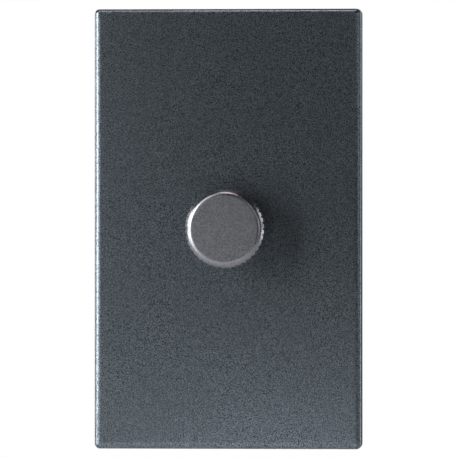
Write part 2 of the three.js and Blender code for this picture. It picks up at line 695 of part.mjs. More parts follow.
function pin(x, top) {
  const half = SWITCH_PIN.width / 2;
  return block(x - SWITCH_PIN.half, x + SWITCH_PIN.half, CONTACT_Y - half, CONTACT_Y + half, BOARD_TOP, top);
}

function pad(x0, x1, top) {
  const half = SWITCH_PIN.width / 2;
  return block(x0, x1, CONTACT_Y - half, CONTACT_Y + half, top - 0.5, top);
}

const pushSwitch = assembly();
const armHalf = ARM.width / 2;
add(pushSwitch, 'switch_base', 'blackPlastic', switchBase());
add(pushSwitch, 'switch_plunger', 'whitePlastic', switchPlunger());
add(pushSwitch, 'return_spring', 'springSteel', returnSpring());
add(pushSwitch, 'contact_arm', 'copper',
  block(ARM.left, ARM.right, CONTACT_Y - armHalf, CONTACT_Y + armHalf, ARM.back, ARM.front));
add(pushSwitch, 'contact_pivot', 'brass', join(pin(-5.5, -12.8), pad(-5.8, PIVOT_X + 0.3, -12.8)));
add(pushSwitch, 'contact_fixed', 'brass', join(pin(5.5, -15), pad(3.4, 5.8, -15)));

// ----------------------------------------------------------------------------- circuit board and parts

const BOARD_BACK = BOARD_FRONT - BOARD_THICKNESS;
const INNER_HALF_WIDTH = CASE_WIDTH / 2 - CASE_WALL;
const INNER_HALF_HEIGHT = CASE_HEIGHT / 2 - CASE_WALL;
const TERMINAL_BLOCK = { inner: 17, half: 6.5, back: -19.6, front: -5.4 };
const TERMINALS = [
  { side: 1, y: TERMINAL_Y },
  { side: 1, y: -TERMINAL_Y },
  { side: -1, y: TERMINAL_Y },
];

// Builds something for the right-hand side at y = 0, then carries it to one terminal's place.
function atTerminal({ side, y }, geometry) {
  return (side > 0 ? geometry : geometry.rotateZ(Math.PI)).translate(0, y, 0);
}

function circuitBoard() {
  const [width, height] = [2 * (INNER_HALF_WIDTH - LOOSE_GAP), 2 * (INNER_HALF_HEIGHT - LOOSE_GAP)];
  const sheet = slab(roundedRect(width, height, 1), BOARD_BACK, BOARD_FRONT, 3);
  const { inner, half } = TERMINAL_BLOCK;
  const [x0, x1, reach] = [inner - LOOSE_GAP, INNER_HALF_WIDTH + 1, half + LOOSE_GAP];
  const notches = TERMINALS.map((terminal) => (
    atTerminal(terminal, block(x0, x1, -reach, reach, BOARD_BACK - 1, BOARD_FRONT + 1))
  ));
  return cut(sheet, ...notches);
}

const TRIAC = { half: 5, tabTop: -10.3, bodyTop: -16.9, bodyBottom: -25.9, bodyBack: -5.2 };
const PAD_BACK = -0.4;
const TAB_FRONT = PAD_BACK - CONTACT_GAP;
const TAB_BACK = TAB_FRONT - 1.3;

function triacTab() {
  const plate = block(-TRIAC.half, TRIAC.half, TRIAC.bodyBottom + 1, TRIAC.tabTop, TAB_BACK, TAB_FRONT);
  return cut(plate, bar(1.8, TAB_BACK - 1, TAB_FRONT + 1, 0, TRIAC_SCREW_Y, 16));
}

// The moulded body, with its three legs turned back to the board.
function triacBody() {
  const { half, bodyTop, bodyBottom, bodyBack } = TRIAC;
  const body = block(-half, half, bodyBottom, bodyTop, bodyBack, TAB_BACK - CONTACT_GAP);
  const legs = [-2.5, 0, 2.5].map((x) => join(
    block(x - 0.4, x + 0.4, bodyBottom - 1.3, bodyBottom + 0.5, -4, -3.5),
    block(x - 0.4, x + 0.4, bodyBottom - 1.3, bodyBottom - 0.8, BOARD_TOP, -3.5),
  ));
  return join(body, ...legs);
}

function triacInsulator() {
  const sheet = block(-6, 6, TRIAC.bodyBottom, TRIAC.tabTop + 0.6, PAD_BACK, -CONTACT_GAP);
  return cut(sheet, bar(1.8, -1, 1, 0, TRIAC_SCREW_Y, 16));
}

function triacNut() {
  const front = TAB_BACK - CONTACT_GAP;
  const hex = bar(3, front - 2.2, front, 0, TRIAC_SCREW_Y, 6);
  return cut(hex, bar(1.6, front - 4, front + 1, 0, TRIAC_SCREW_Y, 16));
}

const CHOKE = { x: -8.6, y: 18.6, inner: 4.2, outer: 8.8, back: BOARD_TOP, front: -12 };

function chokeCore() {
  const { inner, outer, back, front } = CHOKE;
  return ring(inner + 1, outer - 1, back + 1, front - 1, CHOKE.x, CHOKE.y, 28);
}

// Enamelled wire wound round most of the core: a hollow C that the core passes through.
function chokeWinding() {
  const { inner, outer, back, front } = CHOKE;
  const wound = sector(inner, outer, -60, 240, back, front, 24);
  const hollow = sector(inner + 0.8, outer - 0.8, -70, 250, back + 0.8, front - 0.8, 24);
  return cut(wound, hollow).translate(CHOKE.x, CHOKE.y, 0);
}

// A body lying along y with both leads bent to the board.
function axialPart(radius, length, x, y, height) {
  const body = bar(radius, -length / 2, length / 2, 0, 0, 16).rotateX(Math.PI / 2);
  const lead = 0.35;
  const reach = length / 2 + 1.4;
  const wire = block(-lead, lead, -reach, reach, -lead, lead);
  const legs = [-1, 1].map((end) => {
    const [y0, y1] = [end * reach - lead, end * reach + lead];
    return block(-lead, lead, y0, y1, BOARD_TOP - height, lead);
  });
  return join(body, wire, ...legs).translate(x, y, height);
}

const FUSE = { x: -14, y: -14, length: 20, capLength: 5, tube: 2.3, cap: 2.6, z: -17.1 };

function fuseTube() {
  const half = FUSE.length / 2 - 0.8;
  const tube = ring(1.7, FUSE.tube, -half, half, 0, 0, 16);
  return tube.rotateX(Math.PI / 2).translate(FUSE.x, FUSE.y, FUSE.z);
}

// A cup over each end of the glass, joined to the clip foot that stands on the board.
function fuseCap(end) {
  const half = FUSE.length / 2;
  const inner = FUSE.tube + CONTACT_GAP;
  const cup = cut(bar(FUSE.cap, half - FUSE.capLength, half, 0, 0, 16), bar(inner, 0, half - 0.6, 0, 0, 16));
  const turnedCup = cup.rotateX(end > 0 ? -Math.PI / 2 : Math.PI / 2);
  const z0 = BOARD_TOP - FUSE.z;
  const [y0, y1] = [end * (half - 4), end * (half - 1)].sort((a, b) => a - b);
  const foot = block(-1.4, 1.4, y0, y1, z0, -FUSE.cap + 0.15);
  return join(turnedCup, foot).translate(FUSE.x, FUSE.y, FUSE.z);
}

function filmCapacitor() {
  const edge = 0.6;
  const outline = roundedRect(14.6 - 2 * edge, 9 - 2 * edge, 0.4, 9, 19.2);
  return roundedSlab(outline, BOARD_TOP, -7.5, edge, 1, 2);
}

const board = assembly();
add(board, 'circuit_board', 'board', circuitBoard());
add(board, 'triac_tab', 'aluminium', triacTab());
add(board, 'triac_body', 'epoxy', triacBody());
add(board, 'triac_insulator', 'mica', triacInsulator());
add(board, 'triac_screw', 'zincSteel',
  panScrew(1.45, 2.7, 1.6, STRAP_THICKNESS + CONTACT_GAP, -5.4, 0, TRIAC_SCREW_Y));
add(board, 'triac_nut', 'zincSteel', triacNut());
add(board, 'choke_core', 'ferrite', chokeCore());
add(board, 'choke_winding', 'copper', chokeWinding());
add(board, 'film_capacitor', 'filmYellow', filmCapacitor());
add(board, 'resistor', 'resistorBlue', axialPart(1.6, 8, 12, -21, -17.8));
add(board, 'diac', 'resistorBlue', axialPart(1, 4.4, 7.5, -21, -18.4));
add(board, 'fuse_tube', 'glass', fuseTube());
add(board, 'fuse_cap_upper', 'zincSteel', fuseCap(1));
add(board, 'fuse_cap_lower', 'zincSteel', fuseCap(-1));

// ------------------------------------------------------------------------------ rear case and terminals

const POCKET = { floor: 19, half: 5, back: -18.2, front: -6.8 };
const PLATE_SEAT = POCKET.floor + CONTACT_GAP;

function terminalPlate() {
  const plate = block(PLATE_SEAT, PLATE_SEAT + 1, -4.2, 4.2, -17.6, -7.4);
  const tail = block(13.5, PLATE_SEAT + 0.5, -1.8, 1.8, -17.6, -16.7);
  const foot = block(13.5, 14.4, -1.8, 1.8, BOARD_TOP, -16.7);
  const hole = bar(1.95, 0, 30, 0, 0, 16).rotateY(Math.PI / 2).translate(0, 0, TERMINAL_Z);
  return cut(join(plate, tail, foot), hole);
}

function terminalScrew() {
  const seat = PLATE_SEAT + 1 + CONTACT_GAP;
  const screw = panScrew(1.75, 3.9, 2, seat, 15.4, 0, 0);
  return screw.rotateY(Math.PI / 2).translate(0, 0, TERMINAL_Z);
}

// A deep tray closed by the strap, with outside pockets for the terminals and four screw ears.
function rearCase() {
  const edge = 1;
  const outline = roundedRect(CASE_WIDTH - 2 * edge, CASE_HEIGHT - 2 * edge, 1.5);
  const shell = roundedSlab(outline, -CASE_FRONT, -CASE_BACK, edge, 2, 3).rotateY(Math.PI);
  const hollow = roundedRect(2 * INNER_HALF_WIDTH, 2 * INNER_HALF_HEIGHT, 1);
  const tray = cut(shell, slab(hollow, CASE_BACK + CASE_WALL, OVERSHOOT, 3));
  const additions = [];
  const tools = [];
  for (const x of [-CASE_EAR.x, CASE_EAR.x]) {
    for (const sign of [-1, 1]) {
      const { y, radius, thickness } = CASE_EAR;
      const [y0, y1] = [sign * (CASE_HEIGHT / 2 - 0.8), sign * y].sort((a, b) => a - b);
      const back = CASE_FRONT - thickness;
      additions.push(block(x - radius, x + radius, y0, y1, back, CASE_FRONT));
      additions.push(bar(radius, back, CASE_FRONT, x, sign * y, 16));
      tools.push(bar(1.75, back - 1, OVERSHOOT, x, sign * y, 12));
      const post = 3.5;
      const [px, py] = [Math.sign(x) * INNER_HALF_WIDTH, sign * INNER_HALF_HEIGHT];
      const [x0, x1] = [px - Math.sign(x) * post, px + Math.sign(x) * 0.5].sort((a, b) => a - b);
      const [z0, z1] = [CASE_BACK + CASE_WALL - 0.5, BOARD_BACK - CONTACT_GAP];
      const [q0, q1] = [py - sign * post, py + sign * 0.5].sort((a, b) => a - b);
      additions.push(block(x0, x1, q0, q1, z0, z1));
    }
  }
  for (const terminal of TERMINALS) {
    const { inner, half, back, front } = TERMINAL_BLOCK;
    additions.push(atTerminal(terminal, block(inner, CASE_WIDTH / 2 - 1, -half, half, back, front)));
    const pocket = block(POCKET.floor, CASE_WIDTH, -POCKET.half, POCKET.half, POCKET.back, POCKET.front);
    tools.push(atTerminal(terminal, pocket));
    tools.push(atTerminal(terminal, block(10, 20, -2.1, 2.1, -17.9, -16.4)));
    const hole = bar(2.05, 10, 20, 0, 0, 16).rotateY(Math.PI / 2).translate(0, 0, TERMINAL_Z);
    tools.push(atTerminal(terminal, hole));
  }
  const ventCount = 5;
  for (let i = 0; i < ventCount; i += 1) {
    const x = (i - (ventCount - 1) / 2) * 5;
    tools.push(slab(roundedRect(2, 14, 0.98, x, 15), CASE_BACK - 1, CASE_BACK + CASE_WALL + 0.2, 3));
  }
  return cut(join(tray, ...additions), ...tools);
}

const rear = assembly();
add(rear, 'rear_case', 'blackPlastic', rearCase());
TERMINALS.forEach((terminal, i) => {
  add(rear, `terminal_plate_${i + 1}`, 'brass', atTerminal(terminal, terminalPlate()));
  add(rear, `terminal_screw_${i + 1}`, 'brass', atTerminal(terminal, terminalScrew()));
});
let screwNumber = 0;
for (const y of [CASE_EAR.y, -CASE_EAR.y]) {
  for (const x of [-CASE_EAR.x, CASE_EAR.x]) {
    screwNumber += 1;
    const seat = -(CASE_FRONT - CASE_EAR.thickness - CONTACT_GAP);
    const screw = panScrew(1.45, 2.8, 1.6, seat, -1.2, -x, y);
    add(rear, `case_screw_${screwNumber}`, 'zincSteel', screw.rotateY(Math.PI));
  }
}

export default device;
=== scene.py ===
import json
import math

import bmesh
import bpy
from mathutils import Matrix, Vector


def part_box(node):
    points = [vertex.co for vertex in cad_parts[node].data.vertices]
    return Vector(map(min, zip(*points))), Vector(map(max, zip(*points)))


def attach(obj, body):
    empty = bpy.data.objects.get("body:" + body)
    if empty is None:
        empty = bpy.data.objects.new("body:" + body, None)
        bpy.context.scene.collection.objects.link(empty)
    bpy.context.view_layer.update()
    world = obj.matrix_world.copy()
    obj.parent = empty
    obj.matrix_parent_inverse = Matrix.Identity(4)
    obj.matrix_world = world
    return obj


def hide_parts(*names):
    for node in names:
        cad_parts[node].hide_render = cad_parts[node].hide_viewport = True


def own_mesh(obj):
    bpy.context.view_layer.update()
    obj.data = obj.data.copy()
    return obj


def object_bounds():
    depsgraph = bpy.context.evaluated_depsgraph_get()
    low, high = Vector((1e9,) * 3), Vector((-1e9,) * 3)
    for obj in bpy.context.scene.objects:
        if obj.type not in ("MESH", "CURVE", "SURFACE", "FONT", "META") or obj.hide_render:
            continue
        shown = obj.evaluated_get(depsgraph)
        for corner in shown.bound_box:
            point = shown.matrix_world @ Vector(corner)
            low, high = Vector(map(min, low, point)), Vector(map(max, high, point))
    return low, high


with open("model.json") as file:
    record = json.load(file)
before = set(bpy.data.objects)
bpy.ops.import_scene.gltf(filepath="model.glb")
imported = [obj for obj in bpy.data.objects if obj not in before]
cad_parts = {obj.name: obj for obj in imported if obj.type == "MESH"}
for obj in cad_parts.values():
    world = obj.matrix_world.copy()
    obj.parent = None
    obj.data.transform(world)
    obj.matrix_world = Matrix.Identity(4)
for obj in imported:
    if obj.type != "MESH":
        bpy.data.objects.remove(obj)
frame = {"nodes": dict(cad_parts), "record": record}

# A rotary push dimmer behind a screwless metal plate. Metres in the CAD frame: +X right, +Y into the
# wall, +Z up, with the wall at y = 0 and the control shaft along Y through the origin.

CAD_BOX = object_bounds()
MM = 0.001


# ------------------------------------------------------------------------------------ camera and light

CAMERA_ORBIT = math.radians(4)  # how far round to the right the camera stands
CAMERA_DISTANCE = 1.44
CAMERA_LENS = 430.5
CAMERA_AIM = Vector((-0.00016, 0, -0.00003))  # a little off the middle, as the photo is framed


def aimed(obj, place, target):
    obj.location = place
    obj.rotation_euler = (target - place).to_track_quat("-Z", "Y").to_euler()


def add_camera():
    data = bpy.data.cameras.new("camera")
    data.lens = CAMERA_LENS
    camera = bpy.data.objects.new("camera", data)
    bpy.context.scene.collection.objects.link(camera)
    away = Vector((math.sin(CAMERA_ORBIT), -math.cos(CAMERA_ORBIT), 0))
    aimed(camera, CAMERA_AIM + away * CAMERA_DISTANCE, CAMERA_AIM)
    bpy.context.scene.camera = camera


SOFTBOX_SPREAD = 0.4  # a softbox's side, as a share of its distance


def softbox(name, distance, tilt, around, brightness, colour):
    """A square light that faces the knob, as large as its distance asks for.

    Tilt is the angle away from straight in front of the plate, over 90 behind it. Around is the
    direction of that tilt seen from the front: 0 right, 90 up, 180 left and 270 down.
    """
    away, turn = math.radians(tilt), math.radians(around)
    direction = Vector((
        math.sin(away) * math.cos(turn),
        -math.cos(away),
        math.sin(away) * math.sin(turn),
    ))
    data = bpy.data.lights.new(name, "AREA")
    data.shape = "SQUARE"
    data.size = SOFTBOX_SPREAD * distance
    data.energy = brightness * math.pi * data.size ** 2
    data.color = colour
    light = bpy.data.objects.new(name, data)
    bpy.context.scene.collection.objects.link(light)
    aimed(light, direction * distance, Vector((0, 0, 0)))
    light.visible_camera = False


WHITE = (1, 1, 1)
WARM = (1, 0.92, 0.86)
BLUSH = (1, 0.85, 0.84)
LIGHTS = [  # name, distance, tilt, around, brightness, colour
    # The plate is lit from the left, and its left side is the brightest.
    ("key", 0.9, 50, 160, 11.0, WHITE),
    ("left_near", 0.25, 45, 180, 6.5, WHITE),
    ("left_side", 0.5, 78, 195, 6.0, WARM),
    ("left_edge", 0.9, 84, 165, 4.5, WARM),
    ("high_left", 0.5, 52, 125, 2.0, WHITE),
    # From below in front comes the light that throws the knob's shadow upwards.
    ("low_left", 0.9, 50, 210, 3.5, WHITE),
    ("low", 0.45, 45, 270, 6.0, WHITE),
    ("low_front", 0.25, 28, 275, 2.6, WHITE),
    # Two weak fills from the right.
    ("right_fill", 0.4, 45, 5, 0.8, WHITE),
    ("high_right", 0.25, 35, 40, 0.5, WHITE),
    # A faintly pink light from above, and two that put bright beads down the knob's right side.
    ("top_edge", 0.5, 69, 90, 2.8, BLUSH),
    ("right_edge_low", 0.5, 100, 350, 2.6, WHITE),
    ("right_edge_high", 0.5, 100, 20, 1.9, WHITE),
    # Three lights for the views from behind.
    ("back_high", 0.9, 150, 90, 2.5, WHITE),
    ("back_left", 0.9, 125, 170, 3.5, WHITE),
    ("back_right", 0.9, 130, 20, 2.5, WHITE),
]


def add_lights():
    for name, distance, tilt, around, brightness, colour in LIGHTS:
        softbox(name, distance, tilt, around, brightness, colour)


GLOW_COLOUR = (0.9, 0.95, 1, 1)
GLOW_STRENGTH = 0.02


def add_world():
    """A plain white backdrop for the camera, and a dim even glow for everything else."""
    world = bpy.data.worlds.new("studio")
    bpy.context.scene.world = world
    world.use_nodes = True
    nodes, links = world.node_tree.nodes, world.node_tree.links
    nodes.clear()
    ray = nodes.new("ShaderNodeLightPath")
    glow = nodes.new("ShaderNodeBackground")
    glow.inputs["Color"].default_value = GLOW_COLOUR
    glow.inputs["Strength"].default_value = GLOW_STRENGTH
    white = nodes.new("ShaderNodeBackground")
    mix = nodes.new("ShaderNodeMixShader")
    white.inputs["Color"].default_value = (1, 1, 1, 1)
    output = nodes.new("ShaderNodeOutputWorld")
    links.new(ray.outputs["Is Camera Ray"], mix.inputs["Fac"])
    links.new(glow.outputs[0], mix.inputs[1])
    links.new(white.outputs[0], mix.inputs[2])
    links.new(mix.outputs[0], output.inputs["Surface"])


FLOOR_DROP = 0.027
FLOOR_RADIUS = 0.5
FLOOR_FADE_START = 0.12
FLOOR_FADE_END = 0.49
FLOOR_TONE = 0.45  # light that the floor adds for the camera alone, to stay pale away from the softboxes


def add_floor():
    """A pale round floor that keeps its tone away from the lights and fades into the white backdrop."""
    mesh = bpy.data.meshes.new("floor")
    grid = bmesh.new()
    bmesh.ops.create_circle(grid, cap_ends=True, segments=96, radius=FLOOR_RADIUS)
    grid.to_mesh(mesh)
    grid.free()
    floor = bpy.data.objects.new("floor", mesh)
    floor.location = (0, 0, CAD_BOX[0][2] - FLOOR_DROP)
    bpy.context.scene.collection.objects.link(floor)
    material = bpy.data.materials.new("floor_paper")
    material.use_nodes = True
    nodes, links = material.node_tree.nodes, material.node_tree.links
    shader = nodes["Principled BSDF"]
    shader.inputs["Base Color"].default_value = (0.86, 0.86, 0.86, 1)
    shader.inputs["Roughness"].default_value = 0.8
    shader.inputs["Emission Color"].default_value = (1, 1, 1, 1)
    ray = nodes.new("ShaderNodeLightPath")
    tone = nodes.new("ShaderNodeMath")
    tone.operation = "MULTIPLY"
    tone.inputs[1].default_value = FLOOR_TONE
    links.new(ray.outputs["Is Camera Ray"], tone.inputs[0])
    links.new(tone.outputs["Value"], shader.inputs["Emission Strength"])
    place = nodes.new("ShaderNodeTexCoord")
    distance = nodes.new("ShaderNodeVectorMath")
    distance.operation = "LENGTH"
    fade = nodes.new("ShaderNodeMapRange")
    fade.interpolation_type = "SMOOTHSTEP"
    fade.inputs["From Min"].default_value = FLOOR_FADE_START
    fade.inputs["From Max"].default_value = FLOOR_FADE_END
    fade.inputs["To Min"].default_value = 1
    fade.inputs["To Max"].default_value = 0
    links.new(place.outputs["Object"], distance.inputs[0])
    links.new(distance.outputs["Value"], fade.inputs["Value"])
    links.new(fade.outputs["Result"], shader.inputs["Alpha"])
    mesh.materials.append(material)


# ------------------------------------------------------------------------------------------- materials

class Finish:
    """Builds one procedural material in the object's own coordinates, in millimetres."""

    def __init__(self, name, metallic=0.0, roughness=0.5):
        self.material = bpy.data.materials.new(name)
        self.material.use_nodes = True
        self.tree = self.material.node_tree
        self.shader = self.tree.nodes["Principled BSDF"]
        self.shader.inputs["Metallic"].default_value = metallic
        self.shader.inputs["Roughness"].default_value = roughness
        place = self.tree.nodes.new("ShaderNodeTexCoord")
        scale = self.tree.nodes.new("ShaderNodeVectorMath")
        scale.operation = "SCALE"
        scale.inputs["Scale"].default_value = 1 / MM
        self.tree.links.new(place.outputs["Object"], scale.inputs[0])
        self.place = scale.outputs["Vector"]

    def link(self, output, target):
        self.tree.links.new(output, target)
        return output

    def stretched(self, x=1.0, y=1.0, z=1.0):
        """The place, with each axis divided by how far the pattern is drawn out along it."""
        node = self.tree.nodes.new("ShaderNodeVectorMath")
        node.operation = "DIVIDE"
        self.link(self.place, node.inputs[0])
        node.inputs[1].default_value = (x, y, z)
        return node.outputs["Vector"]

    def noise(self, size, detail=2.0, roughness=0.5, place=None, distortion=0.0):
        node = self.tree.nodes.new("ShaderNodeTexNoise")
        node.inputs["Scale"].default_value = 1 / size
        node.inputs["Detail"].default_value = detail
        node.inputs["Roughness"].default_value = roughness
        node.inputs["Distortion"].default_value = distortion
        self.link(place or self.place, node.inputs["Vector"])
        return node.outputs["Fac"]

    def specks(self, size, place=None):
        node = self.tree.nodes.new("ShaderNodeTexVoronoi")
        node.inputs["Scale"].default_value = 1 / size
        self.link(place or self.place, node.inputs["Vector"])
        return node.outputs["Distance"]

    def cells(self, size, place=None):
        """A flat random value for each small cell."""
        node = self.tree.nodes.new("ShaderNodeTexVoronoi")
        node.inputs["Scale"].default_value = 1 / size
        self.link(place or self.place, node.inputs["Vector"])
        split = self.tree.nodes.new("ShaderNodeSeparateColor")
        self.link(node.outputs["Color"], split.inputs["Color"])
        return split.outputs["Red"]

    def radius_from_y(self):
        """How far the place is from the Y axis, which the control shaft lies along."""
        flat = self.tree.nodes.new("ShaderNodeVectorMath")
        flat.operation = "MULTIPLY"
        self.link(self.place, flat.inputs[0])
        flat.inputs[1].default_value = (1, 0, 1)
        length = self.tree.nodes.new("ShaderNodeVectorMath")
        length.operation = "LENGTH"
        self.link(flat.outputs["Vector"], length.inputs[0])
        return length.outputs["Value"]

    def pointiness(self):
        return self.tree.nodes.new("ShaderNodeNewGeometry").outputs["Pointiness"]

    def spread(self, value, low, high, to_low=0.0, to_high=1.0):
        node = self.tree.nodes.new("ShaderNodeMapRange")
        for name, number in zip(("From Min", "From Max", "To Min", "To Max"), (low, high, to_low, to_high)):
            node.inputs[name].default_value = number
        self.link(value, node.inputs["Value"])
        return node.outputs["Result"]

    def math(self, operation, first, second):
        node = self.tree.nodes.new("ShaderNodeMath")
        node.operation = operation
        for socket, value in zip(node.inputs, (first, second)):
            if isinstance(value, (int, float)):
                socket.default_value = value
            else:
                self.link(value, socket)
        return node.outputs["Value"]

    def ramp(self, value, *stops):
        """Colours along a value: each stop is (position, (r, g, b))."""
        node = self.tree.nodes.new("ShaderNodeValToRGB")
        elements = node.color_ramp.elements
        while len(elements) < len(stops):
            elements.new(0.5)
        for element, (position, colour) in zip(elements, stops):
            element.position = position
            element.color = (*colour, 1)
        self.link(value, node.inputs["Fac"])
        return node.outputs["Color"]

    def mix(self, share, first, second, blend="MIX"):
        node = self.tree.nodes.new("ShaderNodeMix")
        node.data_type = "RGBA"
        node.blend_type = blend
        if isinstance(share, (int, float)):
            node.inputs["Factor"].default_value = share
        else:
            self.link(share, node.inputs["Factor"])
        for socket, value in ((node.inputs[6], first), (node.inputs[7], second)):
            if isinstance(value, tuple):
                socket.default_value = (*value, 1)
            else:
                self.link(value, socket)
        return node.outputs[2]

    def colour(self, output):
        self.link(output, self.shader.inputs["Base Color"])

    def roughness(self, output):
        self.link(output, self.shader.inputs["Roughness"])

    def bump(self, height, distance_mm, strength=1.0):
        """Adds a relief. A later call is laid over the earlier ones."""
        node = self.tree.nodes.new("ShaderNodeBump")
        node.inputs["Strength"].default_value = strength
        node.inputs["Distance"].default_value = distance_mm * MM
        self.link(height, node.inputs["Height"])
        normal = self.shader.inputs["Normal"]
        if normal.is_linked:
            self.link(normal.links[0].from_socket, node.inputs["Normal"])
        self.link(node.outputs["Normal"], normal)


def shaded(colour, factor):
    return tuple(channel * factor for channel in colour)


def metallic_paint(name, colour, roughness, grain, contrast, polish_and_sheen_from=None):
    """Metal-flake lacquer: fine light and dark flakes over faint clouding, with a slight orange peel.

    On a knob that turns about Y, what lies further out than the radius given in millimetres is polished
    smoother by fingers, and its colour is lifted there as a painted highlight.
    """
    finish = Finish(name, metallic=1.0, roughness=roughness)
    fine = finish.noise(grain, detail=1.5, roughness=0.6)
    flakes = finish.cells(grain * 0.6)
    speckle = finish.math("ADD", finish.math("MULTIPLY", fine, 0.72), finish.math("MULTIPLY", flakes, 0.28))
    grainy = finish.ramp(
        speckle, (0.32, shaded(colour, 1 - contrast)), (0.5, colour), (0.68, shaded(colour, 1 + contrast)),
    )
    clouds = finish.noise(14, detail=2)
    lacquer = finish.mix(finish.spread(clouds, 0.35, 0.65, 0, 0.3), grainy, shaded(colour, 0.88))
    gloss = finish.spread(fine, 0.3, 0.7, roughness - 0.04, roughness + 0.04)
    if polish_and_sheen_from is not None:
        # Painted highlight: past that radius the colour is lifted by 15 percent to brighten the nose, and
        # the lacquer is made a little smoother, as fingers polish it.
        polish_and_sheen = finish.spread(finish.radius_from_y(), polish_and_sheen_from, polish_and_sheen_from + 0.4)
        lacquer = finish.mix(polish_and_sheen, lacquer, shaded(colour, 1.15))
        gloss = finish.math("ADD", gloss, finish.math("MULTIPLY", polish_and_sheen, -0.12))
    finish.colour(lacquer)
    finish.roughness(gloss)
    finish.bump(finish.noise(grain * 1.3, detail=2), 0.01, 0.5)
    finish.bump(finish.noise(2.6, detail=1), 0.008, 0.3)
    return finish.material


def moulded_plastic(name, colour, roughness, texture=0.22, relief=0.02):
    """Spark-textured moulding: a fine pebble, faint flow clouds and paler, worn edges."""
    finish = Finish(name, roughness=roughness)
    pebble = finish.noise(texture, detail=2.5, roughness=0.6)
    flow = finish.noise(9, detail=3, place=finish.stretched(1, 1, 2.5))
    base = finish.ramp(flow, (0.3, shaded(colour, 0.86)), (0.7, shaded(colour, 1.12)))
    speckled = finish.mix(finish.spread(pebble, 0.35, 0.7, 0, 0.3), base, shaded(colour, 1.5))
    worn = finish.spread(finish.pointiness(), 0.53, 0.62, 0, 0.5)
    finish.colour(finish.mix(worn, speckled, shaded(colour, 2.1)))
    finish.roughness(finish.spread(pebble, 0.3, 0.7, roughness - 0.08, roughness + 0.1))
    finish.bump(pebble, relief, 0.6)
    return finish.material


def plated_metal(name, colour, tint, roughness, drawn=(1, 1, 1)):
    """Bright or drawn metal: fine scratches along its length, cloudy tint and worn, brighter edges."""
    finish = Finish(name, metallic=1.0, roughness=roughness)
    along = finish.stretched(*drawn)
    lines = finish.noise(0.12, detail=3, roughness=0.7, place=along)
    clouds = finish.noise(3.5, detail=3, distortion=0.6)
    base = finish.ramp(clouds, (0.3, colour), (0.7, tint))
    lined = finish.mix(finish.spread(lines, 0.3, 0.7, 0, 0.35), base, shaded(colour, 0.62))
    worn = finish.spread(finish.pointiness(), 0.53, 0.62, 0, 0.6)
    finish.colour(finish.mix(worn, lined, shaded(colour, 1.25)))
    finish.roughness(finish.math(
        "ADD",
        finish.spread(lines, 0.3, 0.7, roughness - 0.06, roughness + 0.08),
        finish.spread(clouds, 0.3, 0.7, -0.04, 0.06),
    ))
    finish.bump(lines, 0.006, 0.5)
    return finish.material


def closed_cell_foam():
    colour = (0.024, 0.025, 0.027)
    finish = Finish("foam_rubber", roughness=0.9)
    pores = finish.specks(0.32)
    finish.colour(finish.ramp(pores, (0.1, shaded(colour, 2.4)), (0.55, colour)))
    finish.roughness(finish.spread(pores, 0, 0.6, 0.82, 0.98))
    finish.bump(pores, 0.09, 0.8)
    finish.shader.inputs["Sheen Weight"].default_value = 0.2
    return finish.material


def fibre_board(name, colour, weave, roughness):
    """Laminate with its cloth showing through: two crossed sets of threads under a thin gloss."""
    finish = Finish(name, roughness=roughness)
    threads = [
        finish.noise(weave, detail=2, place=finish.stretched(12, 1, 1)),
        finish.noise(weave, detail=2, place=finish.stretched(1, 1, 12)),
    ]
    cloth = finish.math("MAXIMUM", *threads)
    finish.colour(finish.ramp(cloth, (0.35, shaded(colour, 0.75)), (0.7, shaded(colour, 1.3))))
    finish.roughness(finish.spread(cloth, 0.3, 0.7, roughness - 0.1, roughness + 0.1))
    finish.bump(cloth, 0.01, 0.4)
    return finish.material


def granular(name, colour, size, roughness, relief):
    """Pressed powder, such as ferrite, carbon or moulded epoxy."""
    finish = Finish(name, roughness=roughness)
    grain = finish.noise(size, detail=3, roughness=0.65)
    clouds = finish.noise(size * 14, detail=2)
    base = finish.ramp(grain, (0.3, shaded(colour, 0.7)), (0.7, shaded(colour, 1.5)))
    finish.colour(finish.mix(finish.spread(clouds, 0.35, 0.65, 0, 0.3), base, shaded(colour, 0.7)))
    finish.roughness(finish.spread(grain, 0.3, 0.7, roughness - 0.08, roughness + 0.08))
    finish.bump(grain, relief, 0.6)
    return finish.material


def enamelled_wire():
    """Lacquered copper wire with fine streaks that run from front to back."""
    finish = Finish("enamelled_copper", metallic=0.9, roughness=0.3)
    streaks = finish.noise(0.3, detail=1, place=finish.stretched(1, 6, 1))
    finish.colour(finish.ramp(streaks, (0.3, (0.2, 0.06, 0.02)), (0.6, (0.55, 0.2, 0.08))))
    finish.roughness(finish.spread(streaks, 0.3, 0.7, 0.22, 0.4))
    finish.bump(streaks, 0.12, 0.8)
    finish.shader.inputs["Coat Weight"].default_value = 0.6
    return finish.material


def glass_tube():
    finish = Finish("fuse_glass", roughness=0.05)
    finish.shader.inputs["Transmission Weight"].default_value = 0.9
    smear = finish.noise(2, detail=3)
    finish.colour(finish.ramp(smear, (0.3, (0.86, 0.92, 0.93)), (0.7, (0.95, 0.97, 0.97))))
    finish.roughness(finish.spread(smear, 0.3, 0.7, 0.02, 0.12))
    return finish.material


PLATE_GREY = (0.19, 0.225, 0.255)
KNOB_GREY = (0.265, 0.272, 0.3)

